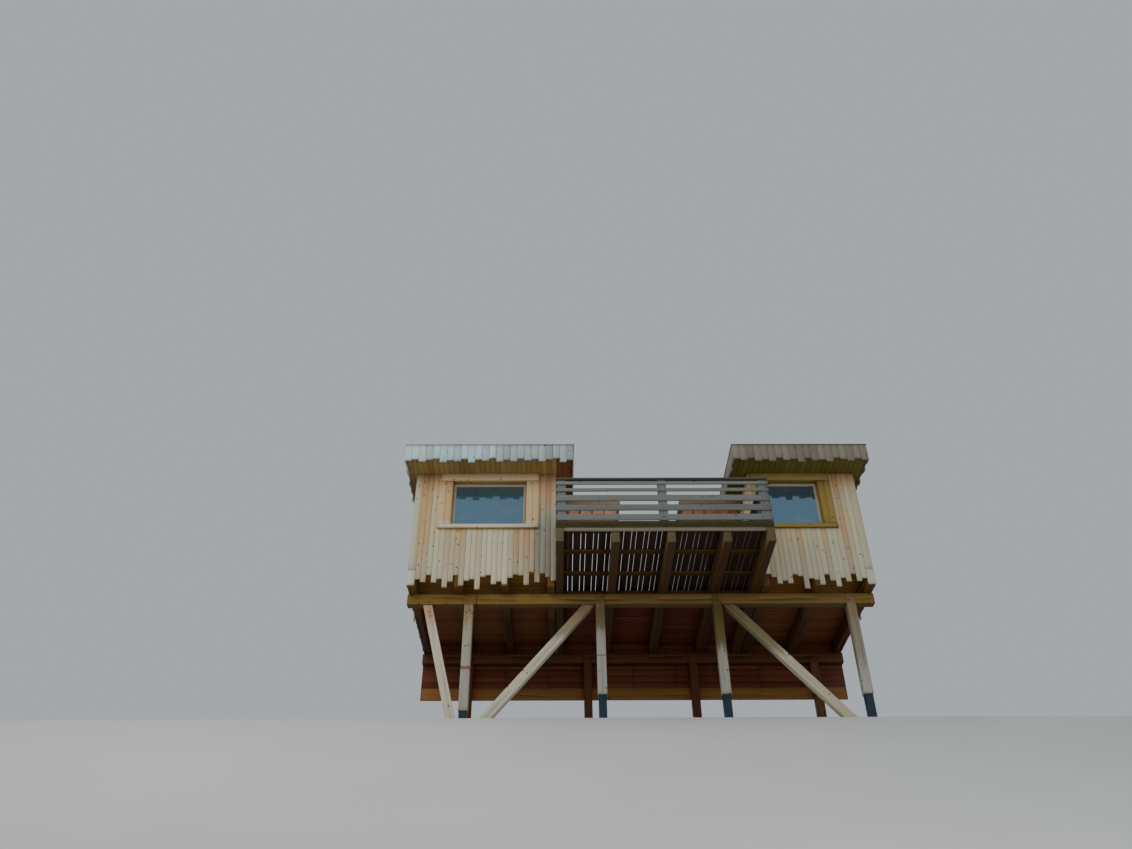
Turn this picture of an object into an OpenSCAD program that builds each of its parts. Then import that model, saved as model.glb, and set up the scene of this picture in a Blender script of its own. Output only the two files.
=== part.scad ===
// Tree house: two timber cabins on posts, with an open deck and balcony between them.
// All sizes are in millimetres. X runs along the front from left to right, Y to the back, Z up.
// Inside the modules x = 0 is the left end of the long beams, y = 0 is the front face of the
// front beam and z = 0 is the ground. placed() then centres the house over the origin.

/* [Widths] */
// Left cabin across the front, over the cladding
left_cabin_w = 2970; // [2700:10:3400]
// Deck between the two cabins
deck_w = 4080; // [3800:10:4800]
// Right cabin across the front, over the cladding
right_cabin_w = 2280; // [2250:10:2700]

/* [Depths] */
// Cabins from front to back, over the cladding
cabin_d = 3600; // [3200:10:4200]
// How far the cabin walls stand out past the beams, front and back
wall_overhang = 320; // [200:10:450]
// How far the balcony reaches out in front of the cabins
balcony_d = 1700; // [1200:10:2000]

/* [Posts and beams] */
// Width of the square posts, and thickness of the beams that they are lapped into
post_w = 180; // [150:5:210]
// Top of the beams above the ground
post_h = 2650; // [2300:10:3200]
// Height of the long beams
beam_h = 230; // [200:5:320]
// First post from the left end, to its middle
post_a_x = 1235; // [1150:5:1300]
// Second post from the left end, to its middle
post_b_x = 3845; // [3500:5:4000]
// Third post from the right end, to its middle
post_c_inset = 3150; // [3000:10:3400]
// Last post from the right end, to its middle
post_d_inset = 477; // [350:1:600]
// How far each back post stands to the left of the front one
rear_post_shift = 190; // [50:5:250]
// Butt joint of the front beam, from the middle of the first post
joint_x = 150; // [120:5:400]
// Open joint between two timbers of one run, as in the front beam and the handrail
joint_gap = 3; // [2:1:8]

/* [Post shoes] */
// Width of the square metal shoes under the posts
shoe_w = 150; // [120:5:150]
// Height of the shoes under the first posts
first_shoe_h = 235; // [150:5:400]
// Height of the shoes under the other posts
shoe_h = 545; // [300:5:700]
// Thickness of their walls and base plates
shoe_t = 8; // [4:1:12]

/* [Braces] */
// Width of a brace as seen from the front
brace_w = 180; // [130:5:190]
// Thickness of a brace from front to back
brace_t = 160; // [100:5:180]
// Top of a long brace, from the middle of the post beside it
brace_top_inset = 230; // [230:1:300]
// Foot of a long brace, from the middle of the post beside it
brace_foot_inset = 334; // [300:1:500]
// Top of the short brace, from the middle of the first post
short_top_inset = 820; // [700:5:900]
// Foot of the short brace, from the middle of the first post
short_foot_inset = 202; // [202:1:350]

/* [Bearers] */
// Width of the bearers that run from front to back
bearer_w = 150; // [100:5:180]
// Height of the bearers
bearer_h = 300; // [200:10:350]
// Wanted distance between cabin bearers
cabin_bearer_pitch = 930; // [800:10:1100]
// Distance between deck bearers from the left, with one more at the right end
deck_bearer_pitch = 1040; // [950:10:1150]

/* [Deck] */
// Width of the cross joists
joist_w = 120; // [60:5:150]
// Height of the cross joists
joist_h = 50; // [40:5:80]
// Wanted distance between cross joists
joist_pitch = 880; // [700:10:1000]
// Height of the pale board across the bearer ends
rim_h = 75; // [50:5:90]
// Thickness of that board
rim_t = 30; // [20:1:40]
// Thickness of the deck boards
deck_board_t = 50; // [30:5:60]
// Wanted width of every other deck board, a narrow one
deck_narrow_w = 82; // [70:1:110]
// Wanted width of the deck boards between them
deck_wide_w = 142; // [120:1:180]
// Open gap between deck boards
deck_gap = 12; // [8:1:24]

/* [Balustrade] */
// Width of the square balustrade posts
rail_post_w = 160; // [100:5:180]
// Number of bays between the front balustrade posts
rail_bay_n = 2; // [1:1:4]
// Thickness of the balustrade boards
rail_t = 30; // [20:1:40]
// Height of each of the wide boards
rail_wide_h = 132; // [110:1:150]
// Number of wide boards, at the bottom
rail_wide_n = 3; // [2:1:4]
// Height of each of the narrow boards
rail_narrow_h = 73; // [50:1:90]
// Number of narrow boards, over the wide ones
rail_narrow_n = 2; // [1:1:3]
// Height of the kick board that stands on the deck under them
kick_h = 45; // [20:1:50]
// Height of the lowest wide board above the deck
rail_foot_gap = 65; // [52:1:110]
// Gap between two boards
rail_gap = 84; // [50:1:100]
// Gap between the top board and the handrail
rail_top_gap = 48; // [20:1:80]
// Height of the handrail
handrail_h = 30; // [20:5:60]
// Width of the handrail
handrail_w = 140; // [100:5:180]
// How far the side rails lap the cabin walls
rail_lap = 100; // [60:5:200]
// Width of the gap in the back balustrade
access_w = 1200; // [900:10:1500]

/* [Skirt] */
// Height of the panels behind the back posts
skirt_h = 730; // [500:10:1000]
// Thickness of the panels
skirt_t = 25; // [15:1:40]
// Wanted width of one panel
skirt_pitch = 935; // [800:5:1300]
// Open joint between two panels
skirt_gap = 3; // [2:1:15]
// Height of the rail under the panels
skirt_rail_h = 275; // [100:5:300]
// Thickness of that rail
skirt_rail_t = 50; // [30:5:80]

/* [Walls] */
// Height of the walls from the floor to the soffit
wall_h = 2290; // [2200:10:2600]
// Thickness of the framed walls
wall_t = 120; // [90:5:160]
// Thickness of the cladding boards
clad_t = 22; // [15:1:30]
// Wanted width of one cladding board
clad_board_w = 108; // [90:1:140]
// Width of the board at each outer corner
corner_board_w = 160; // [120:5:200]
// Shortest cladding board, below the floor
clad_hang = 80; // [40:5:120]
// Open corner joint of cladding and fascia
corner_gap = 2; // [1:1:4]

/* [Windows] */
// Window sill above the floor
sill_h = 1015; // [900:5:1100]
// Height of the window openings
window_h = 1095; // [900:5:1110]
// Left window from the outer corner of its cabin
left_window_x = 781; // [600:1:850]
// Width of the left window opening
left_window_w = 1567; // [1200:1:1600]
// Right window from the outer corner of its cabin
right_window_x = 800; // [700:5:820]
// Width of the right window opening
right_window_w = 1180; // [1000:10:1190]
// Width of the window frame bars
frame_w = 70; // [50:5:90]
// Depth of the window frame bars
frame_d = 50; // [40:2:70]
// Thickness of the pane
pane_t = 8; // [4:1:12]
// How deep the pane sits in its groove
pane_groove = 12; // [8:1:20]
// Free play round the pane at its top and sides
pane_play = 2; // [1:1:4]

/* [Casings] */
// Width of the boards beside the windows
casing_w = 258; // [180:1:280]
// Thickness of the casing boards
casing_t = 25; // [15:1:35]
// Height of the sill board
sill_board_h = 90; // [50:5:120]
// How far the sill board stands out from the cladding
sill_out = 60; // [40:5:100]
// Open joint between casing boards
casing_gap = 2; // [1:1:4]

/* [Doorways] */
// Width of the doorways to the deck
door_w = 800; // [700:10:900]
// Height of the doorways
door_h = 1900; // [1800:10:1930]
// Middle of the doorways, behind the front cladding
door_y = 1370; // [1150:10:1500]
// Width of the boards round a doorway
door_casing_w = 90; // [60:5:110]

/* [Door canopies] */
// Underside of the canopies above the floor
canopy_z = 2020; // [2000:5:2030]
// How far the canopies reach over the deck
canopy_reach = 1390; // [1000:10:1600]
// Canopies from front to back
canopy_d = 1240; // [1000:10:1600]
// Height of the canopy rims
canopy_rim_h = 90; // [70:5:100]
// Thickness of the canopy rims
canopy_rim_t = 40; // [30:5:60]
// Thickness of the boards on top
canopy_board_t = 20; // [15:1:25]
// Width of the canopy joists
canopy_joist_w = 80; // [40:5:100]
// Height of the canopy joists
canopy_joist_h = 55; // [40:5:65]
// Wanted distance between canopy joists
canopy_joist_pitch = 300; // [250:10:400]

/* [Roofs] */
// Roof overhang at the front and back
front_overhang = 615; // [450:5:700]
// Roof overhang at the outer side
outer_overhang = 195; // [120:5:300]
// Roof overhang over the deck
inner_overhang = 370; // [300:5:500]
// Thickness of the soffit boards
soffit_t = 22; // [15:1:30]
// Thickness of the roof between the soffit and the cover
roof_t = 308; // [200:1:350]
// Thickness of the fascia boards
fascia_t = 25; // [18:1:35]
// Wanted width of one fascia board
fascia_board_w = 147; // [110:1:180]
// Thickness of the roof cover
cover_t = 15; // [5:1:25]
// How far the cover reaches past the fascia
cover_out = 10; // [5:1:30]

/* [Hidden] */

// How far each cladding board hangs below the shortest one, from the outer corner inwards
CLAD_ENDS = [290, 160, 220, 60, 230, 150, 340, 210, 70, 300, 190, 160, 385, 105,
             70, 270, 210, 275, 130, 60, 75, 290, 0, 230, 35, 120, 200];
// How far each fascia board hangs below the soffit
FASCIA_ENDS = [70, 35, 95, 50, 20, 110, 60, 85, 30, 120, 45, 75, 15, 100, 55, 90, 25];

CUT = 50;
house_w = left_cabin_w + deck_w + right_cabin_w;
clad_front_y = -wall_overhang;
clad_back_y = cabin_d - wall_overhang;
middle_y = (clad_front_y + clad_back_y) / 2;
wall_front_y = clad_front_y + clad_t;
wall_back_y = clad_back_y - clad_t;
wall_in_y = wall_front_y + wall_t;
beam_back_y = clad_back_y - wall_overhang;
deck_front_y = clad_front_y - balcony_d;
deck_back_y = clad_back_y;
deck_left_x = left_cabin_w;
deck_right_x = left_cabin_w + deck_w;

lap = post_w / 2;
beam_z = post_h - beam_h;
bearer_top_z = post_h + bearer_h;
floor_t = joist_h + deck_board_t;
floor_z = bearer_top_z + floor_t;
soffit_z = floor_z + wall_h;
roof_top_z = soffit_z + soffit_t + roof_t;
sill_z = floor_z + sill_h;
window_top_z = sill_z + window_h;
door_top_z = floor_z + door_h;

roof_front_y = clad_front_y - front_overhang;
roof_back_y = clad_back_y + front_overhang;
handrail_out = 10;
mid_x = house_w / 2;
mid_y = (deck_front_y - handrail_out + roof_back_y + cover_out) / 2;

post_c_x = house_w - post_c_inset;
post_d_x = house_w - post_d_inset;
post_xs = [post_a_x, post_b_x, post_c_x, post_d_x];
rear_post_xs = [for (x = post_xs) x - rear_post_shift];
foot_zs = [first_shoe_h, shoe_h, shoe_h, shoe_h];
beam_joint_x = post_a_x + joint_x;

rail_hs = concat([for (i = [1:rail_wide_n]) rail_wide_h],
                 [for (i = [1:rail_narrow_n]) rail_narrow_h]);
rail_top_z = rail_z(len(rail_hs)) - rail_gap + rail_top_gap;
rail_post_h = rail_top_z - floor_z;
rail_inner_y = deck_front_y + rail_t;
rail_side_end_y = clad_front_y + rail_lap;
rail_back_y = deck_back_y - rail_t;
access_left_x = (deck_left_x + deck_right_x - access_w) / 2;
access_right_x = access_left_x + access_w;

door_mid_y = clad_front_y + door_y;

// Evenly spaced places from a first to a last one, as near as they can be to a wanted pitch
function spread(first, last, pitch) =
    let (n = max(1, round((last - first) / pitch)))
    [for (i = [0:n]) first + i * (last - first) / n];

// Outline of upright boards side by side: level at the top, each cut at its own length
function ragged_outline(width, first_w, board_w, top, short_z, ends) =
    let (n = max(1, round((width - first_w) / board_w)), step = (width - first_w) / n)
    concat([[width, top], [0, top]],
        [for (i = [0:n]) let (z = short_z - ends[i % len(ends)], x = first_w + i * step)
            each [[i == 0 ? 0 : x - step, z], [x, z]]]);

// Low edge of a balustrade board, counted from the lowest wide one
function rail_z(i) = i == 0 ? floor_z + rail_foot_gap : rail_z(i - 1) + rail_hs[i - 1] + rail_gap;

module placed() {
    translate([-mid_x, -mid_y, 0]) children();
}

// The back of the house repeats its front
module at_back() {
    translate([0, 2 * middle_y, 0]) mirror([0, 1, 0]) children();
}

module front_and_back() {
    children();
    at_back() children();
}

// Cabin pieces are drawn with x = 0 at the outer corner and x = w beside the deck
module left_side() {
    placed() children();
}

module right_side() {
    placed() translate([house_w, 0, 0]) mirror([1, 0, 0]) children();
}

// A flat sheet that faces the front, from an outline of x and z
module front_sheet(t) {
    translate([0, t, 0]) rotate([90, 0, 0]) linear_extrude(t) children();
}

// A flat sheet that faces the side, from an outline of y and z
module side_sheet(t) {
    rotate([90, 0, 90]) linear_extrude(t) children();
}

// Posts and beams: each post is halved to run up through the face of its beam

module post_row(xs) {
    for (i = [0:len(xs) - 1]) translate([xs[i] - lap, 0, 0]) {
        translate([0, 0, foot_zs[i]]) cube([post_w, post_w, beam_z - foot_zs[i]]);
        translate([0, 0, beam_z]) cube([post_w, lap, beam_h]);
    }
}

module beam_length(x0, x1, xs) {
    difference() {
        translate([x0, 0, beam_z]) cube([x1 - x0, post_w, beam_h]);
        for (x = xs)
            translate([x - lap, -CUT, beam_z - CUT]) cube([post_w, lap + CUT, beam_h + 2 * CUT]);
    }
}

// A shoe is a square tube on a base plate, and the post stands on its rim
module shoe_row(xs) {
    inside = shoe_w - 2 * shoe_t;
    for (i = [0:len(xs) - 1]) translate([xs[i] - shoe_w / 2, lap - shoe_w / 2, 0]) difference() {
        cube([shoe_w, shoe_w, foot_zs[i]]);
        translate([shoe_t, shoe_t, shoe_t]) cube([inside, inside, foot_zs[i]]);
    }
}

// A sloping brace, cut level under the beam and on the ground
module brace(top_x, foot_x) {
    run = top_x - foot_x;
    half_cut = brace_w * sqrt(run * run + beam_z * beam_z) / beam_z / 2;
    translate([0, (post_w - brace_t) / 2, 0]) front_sheet(brace_t)
        polygon([[foot_x - half_cut, 0], [foot_x + half_cut, 0],
                 [top_x + half_cut, beam_z], [top_x - half_cut, beam_z]]);
}

module front_beam() {
    color("#9a8444") placed() {
        beam_length(0, beam_joint_x, post_xs);
        beam_length(beam_joint_x + joint_gap, house_w, post_xs);
    }
}

module rear_beam() {
    color("#5d4526") placed() at_back() beam_length(0, house_w, rear_post_xs);
}

module front_posts() {
    color("#a5a199") placed() post_row(post_xs);
}

module rear_posts() {
    color("#4c3122") placed() at_back() post_row(rear_post_xs);
}

module post_shoes() {
    color("#5f7f9c") placed() {
        shoe_row(post_xs);
        at_back() shoe_row(rear_post_xs);
    }
}

module short_brace() {
    color("#a8a594") placed() brace(post_a_x - short_top_inset, post_a_x - short_foot_inset);
}

module long_brace() {
    color("#b5b2a2") placed() brace(post_b_x - brace_top_inset, post_a_x + brace_foot_inset);
}

module right_brace() {
    color("#96927f") placed() brace(post_c_x + brace_top_inset, post_d_x - brace_foot_inset);
}

// Bearers, joists and deck

module bearer(x, y0, y1) {
    translate([x - bearer_w / 2, y0, post_h]) cube([bearer_w, y1 - y0, bearer_h]);
}

// Middles of the bearers under a cabin whose left side is at x
function cabin_bearer_xs(x, w) =
    let (edge = clad_t + bearer_w / 2) spread(x + edge, x + w - edge, cabin_bearer_pitch);

left_bearer_xs = cabin_bearer_xs(0, left_cabin_w);
right_bearer_xs = cabin_bearer_xs(deck_right_x, right_cabin_w);
first_bearer_x = deck_left_x + bearer_w / 2;
last_bearer_x = deck_right_x - bearer_w / 2;
inner_bearer_xs = [for (x = [first_bearer_x + deck_bearer_pitch : deck_bearer_pitch :
                             last_bearer_x - 2 * bearer_w]) x];
bearer_xs = concat(left_bearer_xs, [first_bearer_x], inner_bearer_xs, [last_bearer_x], right_bearer_xs);

module cabin_bearers() {
    color("#6a4a2c") placed()
        for (x = concat(left_bearer_xs, right_bearer_xs)) bearer(x, wall_front_y, wall_back_y);
}

// The inner bearers stop behind the boards across their ends
module deck_bearers() {
    color("#75522f") placed() {
        for (x = [first_bearer_x, last_bearer_x]) bearer(x, deck_front_y, deck_back_y);
        for (x = inner_bearer_xs) bearer(x, deck_front_y + rim_t, deck_back_y - rim_t);
    }
}

joist_ys = spread(deck_front_y, deck_back_y - joist_w, joist_pitch);

module deck_joists() {
    color("#6e4d2f") placed() for (y = joist_ys)
        translate([deck_left_x, y, bearer_top_z]) cube([deck_w, joist_w, joist_h]);
}

module deck_rims() {
    color("#a79d86") placed() for (y = [deck_front_y, deck_back_y - rim_t])
        translate([deck_left_x + bearer_w, y, bearer_top_z - rim_h])
            cube([deck_w - 2 * bearer_w, rim_t, rim_h]);
}

module deck_board(x, w) {
    translate([x, deck_front_y, bearer_top_z + joist_h])
        cube([w, deck_back_y - deck_front_y, deck_board_t]);
}

// Narrow and wide boards by turns, scaled together to fill the deck
module deck_boards() {
    wood_w = deck_narrow_w + deck_wide_w;
    n = round((deck_w + deck_gap) / (wood_w + 2 * deck_gap));
    step = (deck_w + deck_gap) / n;
    fit = (step - 2 * deck_gap) / wood_w;
    color("#5a4632") placed() for (i = [0:n - 1]) {
        x = deck_left_x + i * step;
        deck_board(x, deck_narrow_w * fit);
        deck_board(x + deck_narrow_w * fit + deck_gap, deck_wide_w * fit);
    }
}

// Balustrades: a kick board and five boards on the outer face of the posts, under a flat handrail

// Low edge and height of each board
rail_rows = concat([[floor_z, kick_h]], [for (i = [0:len(rail_hs) - 1]) [rail_z(i), rail_hs[i]]]);

module rail_post(x, y) {
    translate([x, y, floor_z]) cube([rail_post_w, rail_post_w, rail_post_h]);
}

module balustrade_posts() {
    first_x = deck_left_x + rail_t;
    last_x = deck_right_x - rail_t - rail_post_w;
    color("#77766c") placed() {
        for (i = [0:rail_bay_n])
            rail_post(first_x + i * (last_x - first_x) / rail_bay_n, rail_inner_y);
        for (x = [deck_left_x, access_left_x - rail_post_w,
                  access_right_x, deck_right_x - rail_post_w])
            rail_post(x, rail_back_y - rail_post_w);
    }
}

module front_balustrade() {
    color("#84847c") placed() for (row = rail_rows)
        translate([deck_left_x, deck_front_y, row[0]]) cube([deck_w, rail_t, row[1]]);
}

module side_balustrades() {
    color("#7c7c74") placed() for (row = rail_rows, x = [deck_left_x, deck_right_x - rail_t])
        translate([x, rail_inner_y, row[0]]) cube([rail_t, rail_side_end_y - rail_inner_y, row[1]]);
}

module rear_balustrades() {
    color("#7c7c74") placed() for (row = rail_rows, x = [deck_left_x, access_right_x])
        translate([x, rail_back_y, row[0]]) cube([access_left_x - deck_left_x, rail_t, row[1]]);
}

module handrails() {
    front_y = deck_front_y - handrail_out;
    side_y = front_y + handrail_w + joint_gap;
    color("#6f6f68") placed() {
        translate([deck_left_x, front_y, rail_top_z]) cube([deck_w, handrail_w, handrail_h]);
        for (x = [deck_left_x, deck_right_x - handrail_w])
            translate([x, side_y, rail_top_z])
                cube([handrail_w, rail_side_end_y - side_y, handrail_h]);
        for (x = [deck_left_x, access_right_x])
            translate([x, deck_back_y - handrail_w, rail_top_z])
                cube([access_left_x - deck_left_x, handrail_w, handrail_h]);
    }
}

// Panels that close the back of the open space under the house, and the rail below them

module skirt_panels() {
    n = round((house_w + skirt_gap) / skirt_pitch);
    step = (house_w + skirt_gap) / n;
    for (i = [0:n - 1])
        translate([i * step, beam_back_y, post_h - skirt_h])
            cube([step - skirt_gap, skirt_t, skirt_h]);
}

// Short boards on top of the back beam, between the bearers
module bearer_infill() {
    for (i = [1:len(bearer_xs) - 1]) {
        x0 = bearer_xs[i - 1] + bearer_w / 2;
        clear = bearer_xs[i] - bearer_w / 2 - x0;
        if (clear > bearer_w)
            translate([x0, beam_back_y - skirt_t - skirt_rail_t, post_h])
                cube([clear, skirt_t, bearer_h]);
    }
}

module rear_skirt() {
    color("#5b3423") placed() {
        skirt_panels();
        bearer_infill();
    }
}

module skirt_rail() {
    color("#8a6a45") placed() translate([0, beam_back_y, post_h - skirt_h - skirt_rail_h])
        cube([house_w, skirt_rail_t, skirt_rail_h]);
}

// Cabins

module window_hole(window_x, window_w) {
    translate([window_x, clad_front_y - CUT, sill_z])
        cube([window_w, clad_t + wall_t + 2 * CUT, window_h]);
}

module door_hole(w) {
    translate([w - clad_t - wall_t - CUT, door_mid_y - door_w / 2, floor_z - CUT])
        cube([clad_t + wall_t + 2 * CUT, door_w, door_h + CUT]);
}

module cabin_floor(w) {
    color("#6b3f2a") translate([clad_t, wall_front_y, bearer_top_z])
        cube([w - 2 * clad_t, wall_back_y - wall_front_y, floor_t]);
}

module end_wall(w, window_x, window_w) {
    color("#a58d63") difference() {
        translate([clad_t, wall_front_y, floor_z]) cube([w - 2 * clad_t, wall_t, wall_h]);
        window_hole(window_x, window_w);
    }
}

module side_wall(x) {
    translate([x, wall_in_y, floor_z])
        cube([wall_t, wall_back_y - wall_front_y - 2 * wall_t, wall_h]);
}

module outer_wall() {
    color("#a58d63") side_wall(clad_t);
}

module inner_wall(w) {
    color("#a58d63") difference() {
        side_wall(w - clad_t - wall_t);
        door_hole(w);
    }
}

module cladding(w, window_x, window_w) {
    side_d = wall_back_y - wall_front_y - 2 * corner_gap;
    color("#b7a883") {
        front_and_back() difference() {
            translate([0, clad_front_y, 0]) front_sheet(clad_t)
                polygon(ragged_outline(w, corner_board_w, clad_board_w, soffit_z,
                                       floor_z - clad_hang, CLAD_ENDS));
            window_hole(window_x, window_w);
        }
        translate([0, wall_front_y + corner_gap, 0]) side_sheet(clad_t)
            polygon(ragged_outline(side_d, clad_board_w, clad_board_w, soffit_z,
                                   floor_z - clad_hang, CLAD_ENDS));
        difference() {
            translate([w - clad_t, wall_front_y + corner_gap, bearer_top_z])
                cube([clad_t, side_d, soffit_z - bearer_top_z]);
            door_hole(w);
        }
    }
}

module window_frames(window_x, window_w) {
    pane_y = wall_in_y - (frame_d + pane_t) / 2;
    color("#9b7a4c") front_and_back() difference() {
        translate([window_x, wall_in_y - frame_d, sill_z]) cube([window_w, frame_d, window_h]);
        translate([window_x + frame_w, wall_in_y - frame_d - CUT, sill_z + frame_w])
            cube([window_w - 2 * frame_w, frame_d + 2 * CUT, window_h - 2 * frame_w]);
        translate([window_x + frame_w - pane_groove, pane_y, sill_z + frame_w - pane_groove])
            cube([window_w - 2 * frame_w + 2 * pane_groove, pane_t,
                  window_h - 2 * frame_w + 2 * pane_groove]);
    }
}

module window_panes(window_x, window_w) {
    pane_y = wall_in_y - (frame_d + pane_t) / 2;
    inset = frame_w - pane_groove;
    color("#9fc1d2") front_and_back()
        translate([window_x + inset + pane_play, pane_y, sill_z + inset])
            cube([window_w - 2 * inset - 2 * pane_play, pane_t, window_h - 2 * inset - pane_play]);
}

module casings(w, window_x, window_w) {
    board_y = clad_front_y - casing_t;
    color("#c0a76f") {
        front_and_back() {
            for (x = [window_x - casing_w, window_x + window_w])
                translate([x, board_y, sill_z])
                    cube([casing_w, casing_t, window_h - casing_gap]);
            translate([window_x - casing_w, board_y, window_top_z])
                cube([window_w + 2 * casing_w, casing_t, soffit_z - window_top_z]);
            translate([window_x - casing_w, clad_front_y - sill_out,
                       sill_z - sill_board_h - casing_gap])
                cube([window_w + 2 * casing_w, sill_out, sill_board_h]);
        }
        for (y = [door_mid_y - door_w / 2 - door_casing_w, door_mid_y + door_w / 2])
            translate([w, y, floor_z]) cube([casing_t, door_casing_w, door_h - casing_gap]);
        translate([w, door_mid_y - door_w / 2 - door_casing_w, door_top_z])
            cube([casing_t, door_w + 2 * door_casing_w, door_casing_w]);
    }
}

// Plan of the roof inside the fascia, as a box from z0 to z1
module roof_plate(w, z0, z1) {
    translate([fascia_t - outer_overhang, roof_front_y + fascia_t, z0])
        cube([w + outer_overhang + inner_overhang - 2 * fascia_t,
              roof_back_y - roof_front_y - 2 * fascia_t, z1 - z0]);
}

module soffit(w) {
    color("#8f6c2e") roof_plate(w, soffit_z, soffit_z + soffit_t);
}

module roof(w) {
    color("#3f4444") union() {
        roof_plate(w, soffit_z + soffit_t, roof_top_z);
        translate([-outer_overhang - cover_out, roof_front_y - cover_out, roof_top_z])
            cube([w + outer_overhang + inner_overhang + 2 * cover_out,
                  roof_back_y - roof_front_y + 2 * cover_out, cover_t]);
    }
}

module fascia(w) {
    front_w = w + outer_overhang + inner_overhang;
    side_d = roof_back_y - roof_front_y - 2 * (fascia_t + corner_gap);
    color("#8d9c9d") {
        front_and_back() translate([-outer_overhang, roof_front_y, 0]) front_sheet(fascia_t)
            polygon(ragged_outline(front_w, fascia_board_w, fascia_board_w, roof_top_z, soffit_z,
                                   FASCIA_ENDS));
        for (x = [-outer_overhang, w + inner_overhang - fascia_t])
            translate([x, roof_front_y + fascia_t + corner_gap, 0]) side_sheet(fascia_t)
                polygon(ragged_outline(side_d, fascia_board_w, fascia_board_w, roof_top_z, soffit_z,
                                       FASCIA_ENDS));
    }
}

// A flat board canopy beside the inner wall, over the doorway
module door_canopy(w) {
    first = canopy_reach - canopy_rim_t;
    translate([w, door_mid_y - canopy_d / 2, floor_z + canopy_z]) {
        difference() {
            cube([canopy_reach, canopy_d, canopy_rim_h + canopy_board_t]);
            translate([canopy_rim_t, canopy_rim_t, -CUT])
                cube([canopy_reach - 2 * canopy_rim_t, canopy_d - 2 * canopy_rim_t,
                      canopy_rim_h + CUT]);
        }
        for (x = spread(canopy_rim_t, first, canopy_joist_pitch))
            translate([min(x, first - canopy_joist_w), canopy_rim_t, canopy_rim_h - canopy_joist_h])
                cube([canopy_joist_w, canopy_d - 2 * canopy_rim_t, canopy_joist_h]);
    }
}

module door_canopies() {
    color("#b3743a") {
        left_side() door_canopy(left_cabin_w);
        right_side() door_canopy(right_cabin_w);
    }
}

module left_floor() { left_side() cabin_floor(left_cabin_w); }
module left_front_wall() { left_side() end_wall(left_cabin_w, left_window_x, left_window_w); }
module left_rear_wall() { left_side() at_back() end_wall(left_cabin_w, left_window_x, left_window_w); }
module left_outer_wall() { left_side() outer_wall(); }
module left_inner_wall() { left_side() inner_wall(left_cabin_w); }
module left_cladding() { left_side() cladding(left_cabin_w, left_window_x, left_window_w); }
module left_window_frames() { left_side() window_frames(left_window_x, left_window_w); }
module left_window_panes() { left_side() window_panes(left_window_x, left_window_w); }
module left_casings() { left_side() casings(left_cabin_w, left_window_x, left_window_w); }
module left_soffit() { left_side() soffit(left_cabin_w); }
module left_roof() { left_side() roof(left_cabin_w); }
module left_fascia() { left_side() fascia(left_cabin_w); }

module right_floor() { right_side() cabin_floor(right_cabin_w); }
module right_front_wall() { right_side() end_wall(right_cabin_w, right_window_x, right_window_w); }
module right_rear_wall() {
    right_side() at_back() end_wall(right_cabin_w, right_window_x, right_window_w);
}
module right_outer_wall() { right_side() outer_wall(); }
module right_inner_wall() { right_side() inner_wall(right_cabin_w); }
module right_cladding() { right_side() cladding(right_cabin_w, right_window_x, right_window_w); }
module right_window_frames() { right_side() window_frames(right_window_x, right_window_w); }
module right_window_panes() { right_side() window_panes(right_window_x, right_window_w); }
module right_casings() { right_side() casings(right_cabin_w, right_window_x, right_window_w); }
module right_soffit() { right_side() soffit(right_cabin_w); }
module right_roof() { right_side() roof(right_cabin_w); }
module right_fascia() { right_side() fascia(right_cabin_w); }

front_beam();
rear_beam();
front_posts();
rear_posts();
post_shoes();
short_brace();
long_brace();
right_brace();
cabin_bearers();
deck_bearers();
rear_skirt();
skirt_rail();
deck_joists();
deck_rims();
deck_boards();
balustrade_posts();
front_balustrade();
side_balustrades();
rear_balustrades();
handrails();
door_canopies();
left_floor();
left_front_wall();
left_rear_wall();
left_outer_wall();
left_inner_wall();
left_cladding();
left_window_frames();
left_window_panes();
left_casings();
left_soffit();
left_roof();
left_fascia();
right_floor();
right_front_wall();
right_rear_wall();
right_outer_wall();
right_inner_wall();
right_cladding();
right_window_frames();
right_window_panes();
right_casings();
right_soffit();
right_roof();
right_fascia();
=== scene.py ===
"""Looks of the tree house: sawn boards, posts, metal and glass, dressed round its fixed frame."""

import logging
import math
from dataclasses import dataclass
from enum import Enum
from typing import Any, TypeAlias

import bmesh
import bpy
import numpy as np
from mathutils import Matrix, Vector


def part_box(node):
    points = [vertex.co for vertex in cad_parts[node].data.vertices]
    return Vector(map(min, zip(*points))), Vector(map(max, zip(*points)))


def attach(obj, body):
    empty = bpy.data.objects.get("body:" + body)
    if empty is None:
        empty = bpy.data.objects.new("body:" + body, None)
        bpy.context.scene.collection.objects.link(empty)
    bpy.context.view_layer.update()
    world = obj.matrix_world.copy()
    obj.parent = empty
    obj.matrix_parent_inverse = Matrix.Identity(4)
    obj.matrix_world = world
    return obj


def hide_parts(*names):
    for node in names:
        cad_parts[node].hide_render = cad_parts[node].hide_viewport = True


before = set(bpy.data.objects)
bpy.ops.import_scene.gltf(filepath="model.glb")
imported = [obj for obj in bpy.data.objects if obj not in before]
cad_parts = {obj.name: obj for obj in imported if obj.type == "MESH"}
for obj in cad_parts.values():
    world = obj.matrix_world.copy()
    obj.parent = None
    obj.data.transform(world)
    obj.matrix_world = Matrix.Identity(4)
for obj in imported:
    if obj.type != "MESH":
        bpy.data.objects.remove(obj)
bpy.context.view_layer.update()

LOG = logging.getLogger("tree_house")
Triple = tuple[float, float, float]
Screen = tuple[int, int, int]
TINY = 5e-5
OUTSIDE = 1.0


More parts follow.
